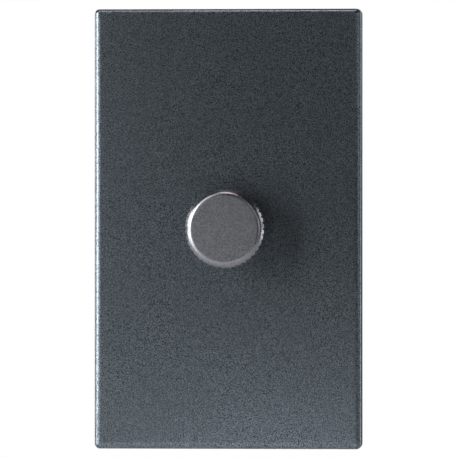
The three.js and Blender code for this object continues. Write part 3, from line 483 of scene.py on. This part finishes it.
FINISHES = {
    "plate_metal": metallic_paint("plate_lacquer", PLATE_GREY, 0.32, 0.26, 0.9),
    # From 8.5 mm out, the knob's colour is lifted as a painted highlight and its lacquer is smoother.
    "knob_metal": metallic_paint("knob_lacquer", KNOB_GREY, 0.4, 0.35, 0.32, polish_and_sheen_from=8.5),
    "black_plastic": moulded_plastic("black_moulding", (0.02, 0.021, 0.023), 0.46),
    "grey_plastic": moulded_plastic("grey_moulding", (0.09, 0.098, 0.102), 0.5),
    "white_plastic": moulded_plastic("white_moulding", (0.6, 0.59, 0.55), 0.42, relief=0.008),
    "foam": closed_cell_foam(),
    "aluminium": plated_metal("rolled_aluminium", (0.6, 0.61, 0.62), (0.54, 0.55, 0.57), 0.34, (1, 1, 25)),
    "zinc_steel": plated_metal("zinc_plate", (0.62, 0.62, 0.6), (0.52, 0.56, 0.6), 0.26),
    "green_steel": plated_metal("green_dyed_zinc", (0.04, 0.3, 0.08), (0.03, 0.22, 0.07), 0.3),
    "spring_steel": plated_metal("spring_steel", (0.42, 0.42, 0.42), (0.35, 0.36, 0.38), 0.24, (12, 1, 1)),
    "brass": plated_metal("brass", (0.72, 0.48, 0.17), (0.62, 0.4, 0.14), 0.28),
    "copper": enamelled_wire(),
    "circuit_board": fibre_board("green_laminate", (0.025, 0.14, 0.05), 0.4, 0.35),
    "phenolic": fibre_board("brown_laminate", (0.2, 0.085, 0.03), 0.5, 0.6),
    "carbon": granular("carbon_track", (0.012, 0.012, 0.013), 0.08, 0.6, 0.01),
    "ferrite": granular("ferrite_core", (0.04, 0.043, 0.047), 0.2, 0.7, 0.03),
    "epoxy": granular("epoxy_moulding", (0.012, 0.012, 0.013), 0.12, 0.45, 0.01),
    "mica": granular("mica_sheet", (0.55, 0.5, 0.36), 0.9, 0.35, 0.004),
    "film_yellow": moulded_plastic("yellow_case", (0.6, 0.36, 0.03), 0.4, relief=0.006),
    "resistor_blue": granular("blue_lacquer", (0.1, 0.27, 0.45), 0.3, 0.4, 0.01),
    "glass": glass_tube(),
}
SLOT_OF = {part["node"]: part["material_slot"] for part in frame["record"]["subparts"]}


# ---------------------------------------------------------------------------------------- mesh helpers

BODY_OF = {
    node: body for body, nodes in frame["record"]["behaviour"]["bodies"].items() for node in nodes
}


def device(x, y, z):
    """A place in the device's own millimetres: x to the right, y up, z out of the wall."""
    return Vector((x, -z, y)) * MM


def finished(obj, node, *others):
    """Gives a new piece its finish, puts it on its body, and hides the CAD nodes that it stands for."""
    slot = SLOT_OF[node]
    obj.data.materials.clear()
    obj.data.materials.append(FINISHES[slot])
    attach(obj, BODY_OF[node])
    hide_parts(node, *others)
    return obj


def piece(name, mesh, sharp_degrees=35):
    """A new object whose faces shade smoothly up to that angle, with flat faces kept flat."""
    mesh.validate()
    for polygon in mesh.polygons:
        polygon.use_smooth = True
    mesh.set_sharp_from_angle(angle=math.radians(sharp_degrees))
    obj = bpy.data.objects.new(name, mesh)
    bpy.context.scene.collection.objects.link(obj)
    weighted = obj.modifiers.new("flat", "WEIGHTED_NORMAL")
    weighted.keep_sharp = True
    return applied(obj)


def applied(obj):
    """Bakes the object's modifiers into its mesh."""
    shown = obj.evaluated_get(bpy.context.evaluated_depsgraph_get())
    mesh = bpy.data.meshes.new_from_object(shown)
    obj.modifiers.clear()
    obj.data = mesh
    return obj


def mesh_of(name, vertices, faces):
    mesh = bpy.data.meshes.new(name)
    mesh.from_pydata(vertices, [], faces)
    work = bmesh.new()
    work.from_mesh(mesh)
    bmesh.ops.recalc_face_normals(work, faces=work.faces)
    work.to_mesh(mesh)
    work.free()
    return mesh


def loft(rings, capped=True):
    """Vertices and faces of a skin over rings that all have the same number of points."""
    count = len(rings[0])
    vertices = [point for ring in rings for point in ring]
    faces = []
    for level in range(len(rings) - 1):
        for i in range(count):
            after = (i + 1) % count
            low, high = level * count, (level + 1) * count
            faces.append((low + i, low + after, high + after, high + i))
    if capped:
        faces.append(tuple(range(count)))
        faces.append(tuple(range(len(vertices) - count, len(vertices))))
    return vertices, faces


def closed_loft(rings):
    """A skin over rings whose last one is joined to the first, as round a washer."""
    vertices, faces = loft(rings, capped=False)
    count = len(rings[0])
    last = len(vertices) - count
    for i in range(count):
        after = (i + 1) % count
        faces.append((last + i, last + after, after, i))
    return vertices, faces


def combine(obj, tool, operation):
    """Joins a closed tool to the object or cuts it away, and deletes the tool."""
    modifier = obj.modifiers.new("combine", "BOOLEAN")
    modifier.operation = operation
    modifier.solver = "EXACT"
    modifier.object = tool
    applied(obj)
    bpy.data.objects.remove(tool)


def plain_object(name, mesh):
    obj = bpy.data.objects.new(name, mesh)
    bpy.context.scene.collection.objects.link(obj)
    return obj


def soften(node, width):
    """A copy of a CAD node with all its sharp edges rounded, which stands for the node."""
    mesh = frame["nodes"][node].data.copy()
    work = bmesh.new()
    work.from_mesh(mesh)
    bmesh.ops.remove_doubles(work, verts=work.verts, dist=2e-6)
    bmesh.ops.dissolve_limit(work, angle_limit=math.radians(1), verts=work.verts, edges=work.edges)
    bmesh.ops.recalc_face_normals(work, faces=work.faces)
    work.to_mesh(mesh)
    work.free()
    if "custom_normal" in mesh.attributes:
        mesh.attributes.remove(mesh.attributes["custom_normal"])
    finished(rounded(plain_object(f"{node}_fine", mesh), width), node)


def rounded(obj, width, angle=32):
    """Rounds every edge sharper than the angle, and keeps the faces between them flat."""
    for polygon in obj.data.polygons:
        polygon.use_smooth = True
    bevel = obj.modifiers.new("edges", "BEVEL")
    bevel.width = width * MM
    bevel.segments = 2
    bevel.limit_method = "ANGLE"
    bevel.angle_limit = math.radians(angle)
    bevel.face_strength_mode = "FSTR_ALL"
    weighted = obj.modifiers.new("flat", "WEIGHTED_NORMAL")
    weighted.use_face_influence = True
    return applied(obj)


# ---------------------------------------------------------------------------------------------- knob

KNOB_CREST = 10.3  # radius over the knurls
KNOB_FACE = 8.4  # radius of the flat face
KNOB_EDGE = 1.75  # radius of the round nose between the face and the chamfer
NOSE_STEPS = 14
KNURL_COUNT = 40
KNURL_DEPTH = 0.38
KNURL_STEPS = 16  # points for each knurl and its groove
KNURL_DIP = 0.04  # how far the middle of a knurl lies below the crest's radius
GROOVE_SHARE = 0.27  # half a groove's width, as a share of the knurl's pitch
KNOB_BORE = 8.4  # radius of the hollow behind the face
KNOB_SKIN = 2  # thickness of the face
CHAMFER = math.radians(50)  # its slope away from the face


def knurl_radius(step):
    """The grooved rim's radius, at a step round the knob."""
    offset = (step / KNURL_STEPS + 0.5) % 1 - 0.5
    share = max(0.0, 1 - abs(offset) / GROOVE_SHARE)
    groove = KNURL_DEPTH * (0.5 - 0.5 * math.cos(math.pi * share))
    return KNOB_CREST - groove - KNURL_DIP * (2 * offset) ** 2


def knob_shell():
    low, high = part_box("knob_shell")
    front, back = -low.y / MM, -high.y / MM
    count = KNURL_COUNT * KNURL_STEPS
    nose_radius = KNOB_FACE + KNOB_EDGE * math.sin(CHAMFER)
    nose_back = front - KNOB_EDGE * (1 - math.cos(CHAMFER))

    def ring(radius_at, z_at):
        points = []
        for i in range(count):
            turn = math.tau * i / count
            radius = radius_at(i)
            points.append(device(radius * math.cos(turn), radius * math.sin(turn), z_at(radius)))
        return points

    def knurl(inset):
        return lambda i: knurl_radius(i) - inset

    def meeting(radius):
        """Where the chamfer is, at a radius."""
        return nose_back - (radius - nose_radius) * math.tan(CHAMFER)

    # From the bore round the softened back edge, and up the knurled rim to where the chamfer starts.
    bore_front = front - KNOB_SKIN
    rings = [
        ring(lambda i: KNOB_BORE, lambda r: bore_front),
        ring(lambda i: KNOB_BORE, lambda r: back + 0.2),
        ring(lambda i: KNOB_BORE + 0.2, lambda r: back),
        ring(lambda i: KNOB_CREST - 0.55, lambda r: back),
        ring(lambda i: KNOB_CREST - 0.42, lambda r: back + 0.05),
        ring(knurl(0.03), lambda r: back + 0.42),
        ring(knurl(0), lambda r: back + 0.5),
        ring(knurl(0), lambda r: meeting(r) - 0.05),
        ring(knurl(0.035), lambda r: meeting(r)),
    ]
    for share in (0.25, 0.6):
        rings.append(ring(
            lambda i: (knurl_radius(i) - 0.07) * (1 - share) + nose_radius * share,
            meeting,
        ))
    for step in range(NOSE_STEPS + 1):
        angle = CHAMFER * (1 - step / NOSE_STEPS)
        radius = KNOB_FACE + KNOB_EDGE * math.sin(angle)
        z = front - KNOB_EDGE * (1 - math.cos(angle))
        rings.append(ring(lambda i: radius, lambda r: z))
    for inset in (0.3, 3.0):
        rings.append(ring(lambda i: KNOB_FACE - inset, lambda r: front))
    obj = piece("knob_knurled_shell", mesh_of("knob", *loft(rings)), 30)
    finished(obj, "knob_shell")


# ---------------------------------------------------------------------------------------------- plate

PLATE_EDGE = 1.2  # radius of the rounding between the sides and the swell
PLATE_SWELL = 5.2  # radius of the gentle swell that leads from the flat face into the edge
SWELL_TILT = math.radians(10)
PLATE_CORNER = 1.4
PLATE_SKIN = 2  # thickness of the metal
PLATE_HOLE = 5.8  # radius
CORNER_STEPS = 8
EDGE_STEPS = 12
# Four lips inside the plate's sides, which the adapter frame's barbs hold.
CATCH = {"inner": 31.9, "y": 30, "half": 4, "back": 0.5, "front": 1.5}


def rounded_outline(half_width, half_height, radius, z):
    """Points of a rounded rectangle, from the right-hand side round to the left and back."""
    points = []
    for quarter in range(4):
        right, top = (quarter in (0, 3)), (quarter in (0, 1))
        x = (half_width - radius) * (1 if right else -1)
        y = (half_height - radius) * (1 if top else -1)
        for step in range(CORNER_STEPS + 1):
            turn = math.radians(90) * (quarter + step / CORNER_STEPS)
            points.append(device(x + radius * math.cos(turn), y + radius * math.sin(turn), z))
    return points


def circle(radius, z, count=96, x=0.0, y=0.0):
    turns = [math.tau * i / count for i in range(count)]
    return [device(x + radius * math.cos(t), y + radius * math.sin(t), z) for t in turns]


def skin_between(work, outer, inner):
    """Fills the flat ring between two closed loops of bmesh vertices."""
    edges = []
    for loop in (outer, inner):
        for i, vertex in enumerate(loop):
            after = loop[(i + 1) % len(loop)]
            edges.append(work.edges.get((vertex, after)) or work.edges.new((vertex, after)))
    bmesh.ops.triangle_fill(work, use_beauty=True, use_dissolve=False, edges=edges)


def bridge(work, first, second):
    for i in range(len(first)):
        after = (i + 1) % len(first)
        work.faces.new((first[i], first[after], second[after], second[i]))


BOX_FACES = [(0, 1, 3, 2), (4, 6, 7, 5), (0, 4, 5, 1), (2, 3, 7, 6), (0, 2, 6, 4), (1, 5, 7, 3)]


def cuboid(name, x0, x1, y0, y1, z0, z1):
    """A tool for joining and cutting, never shown on its own."""
    corners = [device(x, y, z) for x in (x0, x1) for y in (y0, y1) for z in (z0, z1)]
    return plain_object(name, mesh_of(name, corners, BOX_FACES))


def faceplate():
    low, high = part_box("faceplate")
    half_width, half_height = high.x / MM, high.z / MM
    front, back = -low.y / MM, -high.y / MM
    outer = [(0.2, back), (0.05, back + 0.05), (0, back + 0.2)]
    shoulder = front - PLATE_SWELL * (1 - math.cos(SWELL_TILT))
    for step in range(EDGE_STEPS + 1):
        tilt = math.radians(90) + (SWELL_TILT - math.radians(90)) * step / EDGE_STEPS
        rise = math.cos(SWELL_TILT) - math.cos(tilt)
        outer.append((PLATE_EDGE * (1 - math.sin(tilt)), shoulder - PLATE_EDGE * rise))
    swell_start = outer[-1][0] + PLATE_SWELL * math.sin(SWELL_TILT)
    for tilt in (SWELL_TILT * 0.75, SWELL_TILT * 0.5, SWELL_TILT * 0.25, 0):
        outer.append((
            swell_start - PLATE_SWELL * math.sin(tilt),
            front - PLATE_SWELL * (1 - math.cos(tilt)),
        ))
    outer.append((swell_start + 0.4, front))
    inside_front = front - PLATE_SKIN
    work = bmesh.new()

    def loop(points):
        return [work.verts.new(point) for point in points]

    def outline(inset, z, corner=None):
        radius = max(PLATE_CORNER - inset, 0.15) if corner is None else corner
        return loop(rounded_outline(half_width - inset, half_height - inset, radius, z))

    skins = [outline(inset, z) for inset, z in outer]
    for first, second in zip(skins, skins[1:]):
        bridge(work, first, second)
    hole = [
        loop(circle(radius, z)) for radius, z in (
            (PLATE_HOLE + 0.5, front),
            (PLATE_HOLE + 0.15, front),
            (PLATE_HOLE + 0.04, front - 0.04),
            (PLATE_HOLE, front - 0.15),
            (PLATE_HOLE, inside_front + 0.1),
            (PLATE_HOLE + 0.1, inside_front),
        )
    ]
    for first, second in zip(hole, hole[1:]):
        bridge(work, first, second)
    cavity = [
        outline(PLATE_SKIN + 0.4, inside_front, 1.0),
        outline(PLATE_SKIN + 0.1, inside_front - 0.1, 1.0),
        outline(PLATE_SKIN, inside_front - 0.4, 1.0),
        outline(PLATE_SKIN, back + 0.1, 1.0),
        outline(PLATE_SKIN - 0.1, back, 1.0),
    ]
    for first, second in zip(cavity, cavity[1:]):
        bridge(work, first, second)
    bridge(work, cavity[-1], skins[0])
    skin_between(work, skins[-1], hole[0])
    skin_between(work, cavity[0], hole[-1])
    bmesh.ops.recalc_face_normals(work, faces=work.faces)
    mesh = bpy.data.meshes.new("plate")
    work.to_mesh(mesh)
    work.free()
    obj = plain_object("plate_blank", mesh)
    half = CATCH["half"]
    for side in (-1, 1):
        for y in (-CATCH["y"], CATCH["y"]):
            x0, x1 = sorted((side * CATCH["inner"], side * (half_width - PLATE_SKIN + 0.5)))
            catch = cuboid("catch", x0, x1, y - half, y + half, back + CATCH["back"], back + CATCH["front"])
            combine(obj, catch, "UNION")
    mesh = obj.data
    bpy.data.objects.remove(obj)
    finished(piece("metal_faceplate", mesh, 30), "faceplate")


# --------------------------------------------------------------------------------------- round pieces

def turned(name, profile, centre, count):
    """A closed profile of (radius, z) points turned about the line along z through the centre."""
    rings = [circle(radius, z, count, *centre) for radius, z in profile]
    return piece(name, mesh_of(name, *closed_loft(rings)))


HEAD_DIRECTIONS = {
    "front": Vector((0, -1, 0)),
    "back": Vector((0, 1, 0)),
    "right": Vector((1, 0, 0)),
    "left": Vector((-1, 0, 0)),
    "down": Vector((0, 0, -1)),
}
SCREW_SIZES = {  # radius of the shank, radius and height of the head, pitch of the thread
    "box": (1.72, 3.3, 1.9, 0.8),
    "adapter": (1.5, 2.9, 1.3, 0.7),
    "earth": (1.7, 3.5, 1.8, 0.8),
    "triac": (1.45, 2.7, 1.6, 0.5),
    "terminal": (1.75, 3.9, 2, 0.7),
    "case": (1.45, 2.8, 1.6, 0.6),
}
SCREW_SIDES = 36
THREAD_STEPS = 6  # rings for each turn of the thread
THREAD_DEPTH = 0.32  # as a share of the pitch
POINT_SHARE = 0.55  # the shank's radius at its tip, as a share of its full one
DOME_STEPS = 7


def screw_blank(shank, head, rise, length, pitch):
    """A domed head above z = 0 and a threaded shank below it, in millimetres."""
    depth = pitch * THREAD_DEPTH
    point = min(0.9, length * 0.2)

    def threaded(z):
        fade = min(1.0, max(0.0, (-z - 0.5) / 0.6), max(0.0, (length + z) / point))
        taper = min(1.0, POINT_SHARE + (1 - POINT_SHARE) * (length + z) / point)
        points = []
        for i in range(SCREW_SIDES):
            phase = (z / pitch - i / SCREW_SIDES) % 1
            ridge = max(0.0, 1 - abs(2 * phase - 1) * 1.25)
            radius = (shank - depth + depth * ridge * fade + depth * 0.2 * (1 - fade)) * taper
            turn = math.tau * i / SCREW_SIDES
            points.append(Vector((radius * math.cos(turn), radius * math.sin(turn), z)))
        return points

    def plain(radius, z):
        turns = [math.tau * i / SCREW_SIDES for i in range(SCREW_SIDES)]
        return [Vector((radius * math.cos(t), radius * math.sin(t), z)) for t in turns]

    steps = round(length / pitch * THREAD_STEPS)
    rings = [threaded(-length + length * step / steps) for step in range(steps)]
    rings.append(plain(shank * 0.86, 0))
    rings += [plain(head - 0.12, 0), plain(head - 0.03, 0.04), plain(head, 0.12)]
    side = rise * 0.4
    rings.append(plain(head, side))
    for step in range(1, DOME_STEPS + 1):
        turn = math.radians(90) * step / DOME_STEPS
        radius = head * (0.18 + 0.82 * math.cos(turn) ** 0.7)
        rings.append(plain(radius, side + (rise - side) * math.sin(turn)))
    return loft(rings)


def slotted_screw(node, size, direction, slot_turn):
    """A pan-head screw in the place of its CAD node, its head towards the direction given."""
    shank, head, rise, pitch = SCREW_SIZES[size]
    low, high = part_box(node)
    out = HEAD_DIRECTIONS[direction]
    centre = (low + high) / 2
    length = abs((high - low).dot(out)) / MM
    vertices, faces = screw_blank(shank, head, rise, length - rise, pitch)
    obj = plain_object(f"{node}_blank", mesh_of(node, vertices, faces))
    half, reach = head * 0.13, head + 1
    floor = rise * 0.5
    corners = [Vector((x, y, z)) for x in (-reach, reach) for y in (-half, half) for z in (floor, rise + 1)]
    combine(obj, plain_object("slot", mesh_of("slot", corners, BOX_FACES)), "DIFFERENCE")
    seat = centre + out * ((length / 2 - rise) * MM)
    turn = Matrix.Rotation(math.radians(slot_turn), 4, "Z")
    facing = out.to_track_quat("Z", "Y").to_matrix().to_4x4()
    mesh = obj.data
    mesh.transform(Matrix.Translation(seat) @ facing @ Matrix.Scale(MM, 4) @ turn)
    bpy.data.objects.remove(obj)
    finished(piece(f"{node}_threaded", mesh, 40), node)


def screws():
    for place, turn in (("upper", 14), ("lower", -31)):
        slotted_screw(f"box_screw_{place}", "box", "front", turn)
        slotted_screw(f"adapter_screw_{place}", "adapter", "front", 40 - 2 * turn)
    slotted_screw("earth_screw", "earth", "down", 25)
    slotted_screw("triac_screw", "triac", "front", 70)
    for number, (direction, turn) in enumerate((("right", 8), ("right", 52), ("left", -20)), start=1):
        slotted_screw(f"terminal_screw_{number}", "terminal", direction, turn)
    for number in range(1, 5):
        slotted_screw(f"case_screw_{number}", "case", "back", 37 * number)


BUSHING = {"radius": 4.75, "bore": 3.08, "thread": 0.28, "pitch": 0.75, "chamfer": 0.5, "edge": 0.15}
BUSHING_SIDES = 72


def control_bushing():
    """The brass bushing, with the fine thread that its nut runs on."""
    low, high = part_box("control_bushing")
    front, back = -low.y / MM, -high.y / MM
    radius, bore, edge = BUSHING["radius"], BUSHING["bore"], BUSHING["edge"]
    thread_end = front - BUSHING["chamfer"]
    inside = [(bore, front - edge), (bore, back + edge), (bore + edge, back)]
    outside = [(radius - edge, back), (radius, back + edge), (radius, 0)]
    rings = [circle(at, z, BUSHING_SIDES) for at, z in inside + outside]
    total = round(thread_end / BUSHING["pitch"] * THREAD_STEPS)
    for ring in range(1, total + 1):
        z = thread_end * ring / total
        points = []
        for i in range(BUSHING_SIDES):
            phase = (z / BUSHING["pitch"] - i / BUSHING_SIDES) % 1
            cut = BUSHING["thread"] * abs(2 * phase - 1) * min(1, ring / THREAD_STEPS)
            turn = math.tau * i / BUSHING_SIDES
            points.append(device((radius - cut) * math.cos(turn), (radius - cut) * math.sin(turn), z))
        rings.append(points)
    rings.append(circle(radius - BUSHING["chamfer"], front, BUSHING_SIDES))
    rings.append(circle(bore + edge, front, BUSHING_SIDES))
    obj = piece("threaded_bushing", mesh_of("bushing", *closed_loft(rings)), 40)
    finished(obj, "control_bushing")


RETAINER = {"bore": 1.85, "radius": 4.4, "edge": 0.18}


def retainers():
    for place in ("upper", "lower"):
        node = f"screw_retainer_{place}"
        low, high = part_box(node)
        centre = (low + high) / 2
        front, back = -low.y / MM, -high.y / MM
        bore, radius, edge = RETAINER["bore"], RETAINER["radius"], RETAINER["edge"]
        profile = [(bore, front - edge), (bore, back + edge), (bore + edge, back)]
        profile += [(radius - edge, back), (radius, back + edge), (radius, front - edge)]
        profile += [(radius - edge, front), (bore + edge, front)]
        obj = turned(f"{node}_washer", profile, (centre.x / MM, centre.z / MM), 64)
        finished(obj, node)


# -------------------------------------------------------------------------------------- the rear pieces

CASE = {"half_height": 30, "corner": 2.5, "edge": 1.0, "wall": 2.0}
CASE_SOFTENING = 0.25
CASE_EAR = {"x": 16, "y": 33, "radius": 3.4, "thickness": 3, "hole": 1.75, "overlap": 0.8}
POCKET = {"y": 8.5, "half": 5, "floor": 19, "front": -6.8, "back": -18.2}
TERMINAL_BLOCK = {"inner": 17, "half": 6.5, "back": -19.6, "front": -5.4}
TERMINALS = ((1, 1), (1, -1), (-1, 1))  # right 1 or left -1, and above the middle 1 or below it -1
TAIL_SLOT = {"inner": 10, "outer": 20, "half": 2.1, "back": -17.9, "front": -16.4}
SHANK_HOLE = {"x": 15, "z": -12.5, "radius": 2.05, "half_length": 5}
VENTS = {"count": 5, "pitch": 5, "width": 2, "height": 14, "corner": 0.98, "y": 15}


def prism(name, outline, levels):
    """A closed tool or blank: the same number of outline points at each level."""
    rings = [outline(inset, z) for inset, z in levels]
    return plain_object(name, mesh_of(name, *loft(rings)))


def case_blank(half_width, front, back):
    """The case's tray, open at the front and rounded at the back."""
    half_height, corner, edge, wall = (CASE[key] for key in ("half_height", "corner", "edge", "wall"))

    def outside(inset, z):
        return rounded_outline(half_width - inset, half_height - inset, corner - inset * 0.9, z)

    def inside(inset, z):
        return rounded_outline(half_width - wall - inset, half_height - wall - inset, 1, z)

    levels = [(0, front)]
    steps = 5
    for step in range(steps + 1):
        turn = math.radians(90) * step / steps
        levels.append((edge * (1 - math.cos(turn)), back + edge * (1 - math.sin(turn))))
    case = prism("case", outside, levels)
    combine(case, prism("hollow", inside, [(0, front + 1), (0, back + wall)]), "DIFFERENCE")
    return case


def disc(name, radius, x, y, levels, sides):
    return plain_object(name, mesh_of(name, *loft([circle(radius, z, sides, x, y) for z in levels])))


def add_ears(case, front):
    """Four ears with the holes for the case screws."""
    radius, back = CASE_EAR["radius"], front - CASE_EAR["thickness"]
    for x in (-CASE_EAR["x"], CASE_EAR["x"]):
        for sign in (-1, 1):
            y = sign * CASE_EAR["y"]
            y0, y1 = sorted((sign * (CASE["half_height"] - CASE_EAR["overlap"]), y))
            combine(case, cuboid("flank", x - radius, x + radius, y0, y1, back, front), "UNION")
            combine(case, disc("ear", radius, x, y, (back, front), 48), "UNION")
            combine(case, disc("bore", CASE_EAR["hole"], x, y, (back - 1, front + 1), 32), "DIFFERENCE")


def add_terminal_pockets(case, half_width):
    """A solid block at each terminal, with the pocket, the slot and the hole that its brass sits in."""
    block, pocket, tail, hole = TERMINAL_BLOCK, POCKET, TAIL_SLOT, SHANK_HOLE
    for side, sign in TERMINALS:
        y = sign * pocket["y"]

        def box(name, inner, outer, half, back, front):
            x0, x1 = sorted((side * inner, side * outer))
            return cuboid(name, x0, x1, y - half, y + half, back, front)

        rib = box("rib", block["inner"], half_width - 1, block["half"], block["back"], block["front"])
        combine(case, rib, "UNION")
        well = box("well", pocket["floor"], half_width + 5, pocket["half"], pocket["back"], pocket["front"])
        combine(case, well, "DIFFERENCE")
        slot = box("tail", tail["inner"], tail["outer"], tail["half"], tail["back"], tail["front"])
        combine(case, slot, "DIFFERENCE")
        shank = []
        for reach in (-hole["half_length"], hole["half_length"]):
            upright = circle(hole["radius"], reach, 32, 0, y)
            shank.append([
                Vector((place.y * side + hole["x"] * MM * side, place.x - hole["z"] * MM, place.z))
                for place in upright
            ])
        combine(case, plain_object("shank", mesh_of("shank", *loft(shank))), "DIFFERENCE")


def cut_vents(case, back):
    for i in range(VENTS["count"]):
        x = (i - (VENTS["count"] - 1) / 2) * VENTS["pitch"]

        def slot(inset, z):
            points = rounded_outline(VENTS["width"] / 2, VENTS["height"] / 2, VENTS["corner"], z)
            return [point + Vector((x, 0, VENTS["y"])) * MM for point in points]

        combine(case, prism("vent", slot, [(0, back - 1), (0, back + CASE["wall"] + 0.2)]), "DIFFERENCE")


def rear_case():
    low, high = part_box("rear_case")
    half_width = high.x / MM
    front, back = -low.y / MM, -high.y / MM
    case = case_blank(half_width, front, back)
    add_ears(case, front)
    add_terminal_pockets(case, half_width)
    cut_vents(case, back)
    case.name = "rear_case_moulding"
    finished(rounded(case, CASE_SOFTENING, 25), "rear_case")


# ----------------------------------------------------------------------------------------- wound pieces

SPRING_WIRE = 0.28  # radius
SPRING_TURNS = 4.5
SPRING_STEPS = 32  # along each turn
SPRING_CLOSING = 0.09  # how far its end turns are drawn in from an even helix, as a share of its length
SPRING_SIDES = 12


def return_spring():
    """A helix of round wire whose end turns lie close, between the switch's floor and the plunger."""
    low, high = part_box("return_spring")
    coil = high.x / MM - SPRING_WIRE
    front, back = -low.y / MM - SPRING_WIRE, -high.y / MM + SPRING_WIRE
    total = round(SPRING_TURNS * SPRING_STEPS)
    rings = []
    for step in range(total + 1):
        share = step / total
        turn = math.tau * SPRING_TURNS * share
        climb = share - SPRING_CLOSING * math.sin(math.tau * share)
        outward = Vector((math.cos(turn), 0, math.sin(turn)))
        centre = device(coil * math.cos(turn), coil * math.sin(turn), back + (front - back) * climb)
        rings.append([
            centre + (outward * math.cos(around) + Vector((0, 1, 0)) * math.sin(around)) * SPRING_WIRE * MM
            for around in (math.tau * i / SPRING_SIDES for i in range(SPRING_SIDES))
        ])
    spring = finished(piece("coiled_return_spring", mesh_of("spring", *loft(rings))), "return_spring")
    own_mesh(spring)


WINDING_TURNS = 22
WINDING_STEPS = 40  # round each turn
WINDING_DEPTH = 4.6  # from its outer to its inner radius
WINDING_REACH = 1  # how far the winding stands out past the core
WINDING_CORNER = 0.9
WINDING_START = -55  # the bearing of its first turn, in degrees from the right
WINDING_SWEEP = 290  # degrees, which leaves a gap at the bottom
WIRE = 0.36  # radius
WIRE_SIDES = 8


def choke_winding():
    """Enamelled wire wound turn by turn round most of the ferrite ring."""
    low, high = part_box("choke_winding")
    core_low, core_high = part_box("choke_core")
    centre = (core_low + core_high) / 2 / MM
    outer = (core_high.x - core_low.x) / 2 / MM + WINDING_REACH
    inner = outer - WINDING_DEPTH
    half_width = (outer - inner) / 2 - WIRE
    half_depth = (high.y - low.y) / 2 / MM - WIRE
    middle = (outer + inner) / 2
    section = []
    for quarter in range(4):
        side, end = (1 if quarter in (0, 3) else -1), (1 if quarter in (0, 1) else -1)
        for step in range(WINDING_STEPS // 4):
            turn = math.radians(90) * (quarter + step / (WINDING_STEPS // 4 - 1))
            section.append((
                side * (half_width - WINDING_CORNER) + WINDING_CORNER * math.cos(turn),
                end * (half_depth - WINDING_CORNER) + WINDING_CORNER * math.sin(turn),
            ))
    total = WINDING_TURNS * len(section)
    bearings = [math.radians(WINDING_START + WINDING_SWEEP * i / total) for i in range(total + 1)]
    path = []
    for i, bearing in enumerate(bearings):
        across, deep = section[i % len(section)]
        radius = middle + across
        path.append(Vector((
            centre.x + radius * math.cos(bearing),
            centre.y + deep,
            centre.z + radius * math.sin(bearing),
        )) * MM)
    rings = []
    for i, (place, bearing) in enumerate(zip(path, bearings)):
        along = (path[min(i + 1, total)] - path[max(i - 1, 0)]).normalized()
        sideways = Vector((-math.sin(bearing), 0, math.cos(bearing)))
        first = (sideways - along * sideways.dot(along)).normalized()
        second = along.cross(first)
        rings.append([
            place + (first * math.cos(t) + second * math.sin(t)) * WIRE * MM
            for t in (math.tau * k / WIRE_SIDES for k in range(WIRE_SIDES))
        ])
    finished(piece("wound_choke_coil", mesh_of("coil", *loft(rings))), "choke_winding")


# ------------------------------------------------------------------------------- CAD pieces with soft edges

SOFTENED = {  # how wide each one's rounded edges are, in millimetres
    "mounting_strap": 0.16,
    "adapter_frame": 0.2,
    "wall_gasket": 0.1,
    "earth_spring": 0.06,
    "bushing_nut": 0.25,
    "bushing_lock_washer": 0.08,
    "terminal_plate_1": 0.12,
    "terminal_plate_2": 0.12,
    "terminal_plate_3": 0.12,
    "knob_hub": 0.15,
    "pot_can": 0.12,
    "circuit_board": 0.1,
    "film_capacitor": 0.3,
    "triac_body": 0.15,
    "triac_tab": 0.08,
    "switch_base": 0.2,
    "pot_rotor": 0.12,
    "pot_wafer": 0.12,
}


# --------------------------------------------------------------------------------------------- the scene

add_camera()
add_world()
add_lights()
add_floor()
knob_shell()
faceplate()
screws()
control_bushing()
retainers()
rear_case()
return_spring()
choke_winding()
for node, width in SOFTENED.items():
    soften(node, width)

for node, obj in frame["nodes"].items():
    obj.data.materials.clear()
    obj.data.materials.append(FINISHES[SLOT_OF[node]])

bpy.context.scene.view_settings.view_transform = "Standard"
